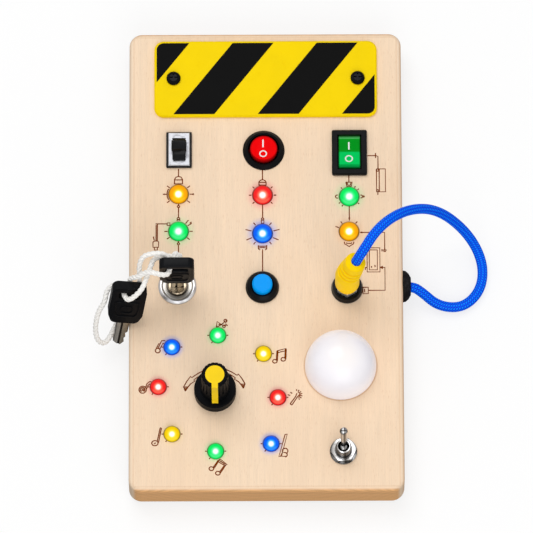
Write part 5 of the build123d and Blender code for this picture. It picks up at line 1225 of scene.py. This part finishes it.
class BUSYBOARD_OT_switches(Build, bpy.types.Operator):
    """Finishes the paddle switch and the two rocker switches, and prints their I and O"""

    bl_idname = "busy_board.switches"
    bl_label = "Switches"

    def build(self, colours, sizes):
        black = moulded("switch_black", colours.black, rough=0.34)
        dress(black, "paddle_housing", "red_switch_housing", "green_switch_housing")
        brushed = {"rough": 0.42, "grain": 0.5, "grime": 0.2, "stretch": (1, 20, 1)}
        dress(plated("brushed_plate", paint(166, 167, 172), **brushed), "paddle_plate")
        lever = moulded("paddle_black", colours.black, rough=0.24, gloss=0.15)
        softened("paddle_lever_soft", "paddle_lever", lever, "paddle", 0.45 * MM)
        dress(rocker_plastic("rocker_red", colours.red_rocker, (-1.0, 63.8), (7.45, 7.45)), "red_rocker")
        lit_and_shaded_halves = (paint(0, 208, 96), colours.green_rocker)
        green = rocker_plastic("rocker_green", colours.green_rocker, (46.2, 61.6), (5.9, 9.2), lit_and_shaded_halves)
        softened("green_rocker_soft", "green_rocker", green, "green_key", 0.5 * MM)
        ink = printed_mark(colours)
        # For each rocker: x, y and width of its I, and x, y and radius of its O, in millimetres
        for name, bar, ring in (
            ("red", (-1.35, 66.9, 0.75), (-1.3, 60.6, 2.15)),
            ("green", (45.9, 65.3, 0.8), (45.9, 57.3, 2.2)),
        ):
            for letter, shape in (("i", self.bar(*bar)), ("o", self.ring(*ring))):
                self.print_on(f"mark_{letter}_{name}", shape, name, ink, sizes.mark_lift)

    def bar(self, x, y, wide, tall=4.6):
        shape = bmesh.new()
        bmesh.ops.create_grid(shape, x_segments=2, y_segments=8, size=0.5 * MM)
        bmesh.ops.scale(shape, vec=(wide, tall, 1), verts=shape.verts)
        bmesh.ops.translate(shape, vec=(x * MM, y * MM, 0), verts=shape.verts)
        return shape

    def ring(self, x, y, radius, stroke=0.7):
        shape = bmesh.new()
        bmesh.ops.create_circle(shape, segments=40, radius=(radius - stroke) * MM)
        for out in (radius - stroke / 2, radius):
            rim = [e for e in shape.edges if len(e.link_faces) < 2]
            outer = [e for e in rim if max(v.co.length for v in e.verts) > (out - stroke * 0.6) * MM]
            for vertex in new_verts(bmesh.ops.extrude_edge_only(shape, edges=outer)):
                vertex.co = vertex.co.normalized() * out * MM
        bmesh.ops.translate(shape, vec=(x * MM, y * MM, 0), verts=shape.verts)
        shape.verts.index_update()
        shape.faces.sort(key=self.rank)
        return shape

    def rank(self, face):
        """A number that puts a ring's faces in the same order at each run."""
        corners = [vertex.index for vertex in face.verts]
        return min(corners) * 1000 + max(corners)

    def print_on(self, name, shape, colour, ink, lift):
        """Drops a flat shape on a rocker from above, lifts it a little and turns its faces up."""
        solid = shape_of(colour + "_rocker")
        surface = BVHTree.FromBMesh(solid)
        solid.free()
        above = 0.2
        for vertex in shape.verts:
            hit = surface.ray_cast(Vector((vertex.co.x, vertex.co.y, above)), Vector((0, 0, -1)))[0]
            if hit is None:
                raise RuntimeError(f"{name} reaches past its rocker")
            vertex.co.z = hit.z + lift
        for face in shape.faces:
            face.normal_update()
            if face.normal.z < 0:
                face.normal_flip()
        piece(name, mesh_of(shape, outwards=False), ink, colour + "_key")


class BUSYBOARD_OT_push_button(Build, bpy.types.Operator):
    """Finishes the push button's bezel, its blue cap and its spring"""

    bl_idname = "busy_board.push_button"
    bl_label = "Push button"

    def build(self, colours, sizes):
        dress(moulded("button_black", colours.black, rough=0.3, gloss=0.1), "button_housing")
        dress(moulded("button_blue", colours.button_blue, rough=0.26), "button_cap")
        self.coil(plated("spring_steel", paint(176, 178, 182), rough=0.22))

    def coil(self, steel):
        """The cap's spring, standing on the housing's floor."""
        shape = shape_of("button_spring")
        merge(shape)
        mesh = mesh_of(shape)
        made = piece("button_spring_coil", mesh, steel, None)
        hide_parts("button_spring")
        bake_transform(made)


# ---- lamps


class BUSYBOARD_OT_lamps(Build, bpy.types.Operator):
    """Lights the coloured lamps and the milky dome"""

    bl_idname = "busy_board.lamps"
    bl_label = "Lamps and dome"

    def build(self, colours, sizes):
        for name in LAMPS:
            dress(glowing_lens(name, getattr(colours, "lamp_" + name)), name + "_leds")
        dress(milky_dome(colours), "dome_lens")
        dress(moulded("lamp_white", paint(236, 236, 230), rough=0.2, dust=0.0, gloss=0.5), "lamp_led")
        dress(plated("tinned_wire", paint(198, 200, 204), rough=0.28), "led_leads", "battery_contacts")


# ---- lock, keys, plug


class BUSYBOARD_OT_lock_and_keys(Build, bpy.types.Operator):
    """Finishes the lock and makes the two keys, with rounded heads and raised rims"""

    bl_idname = "busy_board.lock_and_keys"
    bl_label = "Lock and keys"

    # For each key: a point at the foot of its head, the way across it and the way it faces
    KEYS = {
        "key": ((*LOCK, 35.0), (1, 0, 0), (0, -1, 0)),
        "spare_key": ((-77.9, -35.5, 25.5), (0.986, -0.023, -0.163), (0.046, -0.914, 0.404)),
    }
    HALF_HEAD = 2.98 * MM              # from the middle of a head to where its rims stand
    # For each rim: its outline on the head and the radius of its corners
    RIMS = {
        "panel": ([(-6.6, 8.6), (-5.4, 5.4), (5.4, 5.4), (6.6, 8.6), (6.9, 16.6), (-6.9, 16.6)], 1.5),
        "cup": ([(-3.6, 8.0), (3.6, 8.0), (3.6, 13.6), (-3.6, 13.6)], 2.4),
    }

    def build(self, colours, sizes):
        dress(lock_chrome(), "lock_body")
        dress(plated("barrel_brass", paint(186, 170, 146), rough=0.24, grain=0.3, grime=0.6), "lock_barrel")
        dress(plated("cam_steel", paint(168, 170, 172), rough=0.3, grain=0.5), "lock_cam")
        head = moulded("key_black", colours.black, rough=0.34, skin=0.7, gloss=0.08)
        for body, (origin, across, facing) in self.KEYS.items():
            node = body + "_bow"
            softened(node + "_soft", node, head, body, 1.0 * MM, segments=4)
            place = upright([c * MM for c in origin], across, facing)
            dress(blade_nickel(body, place), body + "_blade")
            for side, turn in (("front", 0), ("rear", math.pi)):
                face = place @ Matrix.Rotation(turn, 4, "Y") @ Matrix.Translation((0, 0, self.HALF_HEAD))
                for name, (points, corner) in self.RIMS.items():
                    piece(f"{node}_{name}_{side}", raised_rim(points, corner, sizes.rim, face), head, body)


class BUSYBOARD_OT_jack_and_plug(Build, bpy.types.Operator):
    """Finishes the jack socket, the plug with its ribbed boot and the grommet"""

    bl_idname = "busy_board.jack_and_plug"
    bl_label = "Jack, plug and grommet"

    def build(self, colours, sizes):
        dress(moulded("socket_black", colours.black, rough=0.28, gloss=0.1), "jack_socket")
        dress(plated("plug_nickel", paint(206, 202, 194)), "plug_pin")
        dress(plated("collar_nickel", paint(250, 248, 242), rough=0.5, grime=0.1), "plug_collar")
        dress(boot_plastic(colours), "plug_boot")
        dress(soft_rubber("black_rubber", paint(12, 12, 14)), "cable_grommet", "rubber_feet")


# ---- knob and toggle


class BUSYBOARD_OT_knob(Build, bpy.types.Operator):
    """Finishes the fluted knob, its yellow cap and pointer, and the switch below it"""

    bl_idname = "busy_board.knob"
    bl_label = "Knob"

    def build(self, colours, sizes):
        dress(moulded("knob_black", colours.black, rough=0.4, skin=0.6, gloss=0.03), "knob_body")
        dress(moulded("knob_yellow", colours.knob_yellow, rough=0.4, skin=0.6), "knob_cap")
        steel = plated("steel", paint(188, 190, 194), rough=0.24, grain=0.4)
        dress(steel, "selector_shaft", "selector_switch", "panel_nuts")


class BUSYBOARD_OT_toggle(Build, bpy.types.Operator):
    """Finishes the toggle switch: bushing, nut, washer and polished lever"""

    bl_idname = "busy_board.toggle"
    bl_label = "Toggle switch"

    def build(self, colours, sizes):
        dress(toggle_metal("toggle_nut_steel", 7.4), "toggle_nut")
        dress(toggle_metal("toggle_lever_steel", 2.3), "toggle_lever")
        dress(toggle_metal("toggle_bushing_steel", 4.2, threaded=1.0), "toggle_body")


# ---- inside and back


class BUSYBOARD_OT_inside(Build, bpy.types.Operator):
    """Finishes the circuit boards, the speaker, the cells, the battery box and all screws"""

    bl_idname = "busy_board.inside"
    bl_label = "Inside and back"

    def build(self, colours, sizes):
        dress(circuit_board("green_board", paint(24, 104, 60)), "upper_board", "ring_board", "main_board")
        dress(moulded("chip_black", paint(34, 34, 36), rough=0.5), "board_chips")
        screw = plated("screw_steel", paint(182, 184, 188), rough=0.26, grain=0.5)
        dress(screw, "cover_screws", "board_screws", "door_screw")
        dress(moulded("box_black", paint(32, 32, 34), rough=0.42, skin=0.9), "battery_box", "battery_door")
        dress(cell_jacket(), "batteries")
        dress(speaker_metal(), "speaker")


# ---- the add-on

PIECES = (
    BUSYBOARD_OT_stage,
    BUSYBOARD_OT_key_cord,
    BUSYBOARD_OT_patch_cable,
    BUSYBOARD_OT_wood,
    BUSYBOARD_OT_engraving,
    BUSYBOARD_OT_striped_plate,
    BUSYBOARD_OT_switches,
    BUSYBOARD_OT_push_button,
    BUSYBOARD_OT_lamps,
    BUSYBOARD_OT_lock_and_keys,
    BUSYBOARD_OT_jack_and_plug,
    BUSYBOARD_OT_knob,
    BUSYBOARD_OT_toggle,
    BUSYBOARD_OT_inside,
)


class BUSYBOARD_PT_pieces(bpy.types.Panel):
    """Lists the board's pieces, sizes and colours"""

    bl_idname = "BUSYBOARD_PT_pieces"
    bl_label = "Busy board"
    bl_space_type = "VIEW_3D"
    bl_region_type = "UI"
    bl_category = "Busy Board"

    def draw(self, context):
        layout = self.layout
        for operator in PIECES:
            layout.operator(operator.bl_idname)
        for group in settings(context):
            box = layout.box()
            for name in group.__annotations__:
                box.prop(group, name)


CLASSES = (BusyBoardColours, BusyBoardSizes, *PIECES, BUSYBOARD_PT_pieces)


def register():
    for cls in CLASSES:
        bpy.utils.register_class(cls)
    bpy.types.Scene.busy_board_colours = bpy.props.PointerProperty(type=BusyBoardColours)
    bpy.types.Scene.busy_board_sizes = bpy.props.PointerProperty(type=BusyBoardSizes)


def unregister():
    del bpy.types.Scene.busy_board_sizes
    del bpy.types.Scene.busy_board_colours
    for cls in reversed(CLASSES):
        bpy.utils.unregister_class(cls)


def main():
    register()
    for operator in PIECES:
        group, name = operator.bl_idname.split(".")
        getattr(getattr(bpy.ops, group), name)()


if __name__ == "__main__":
    main()
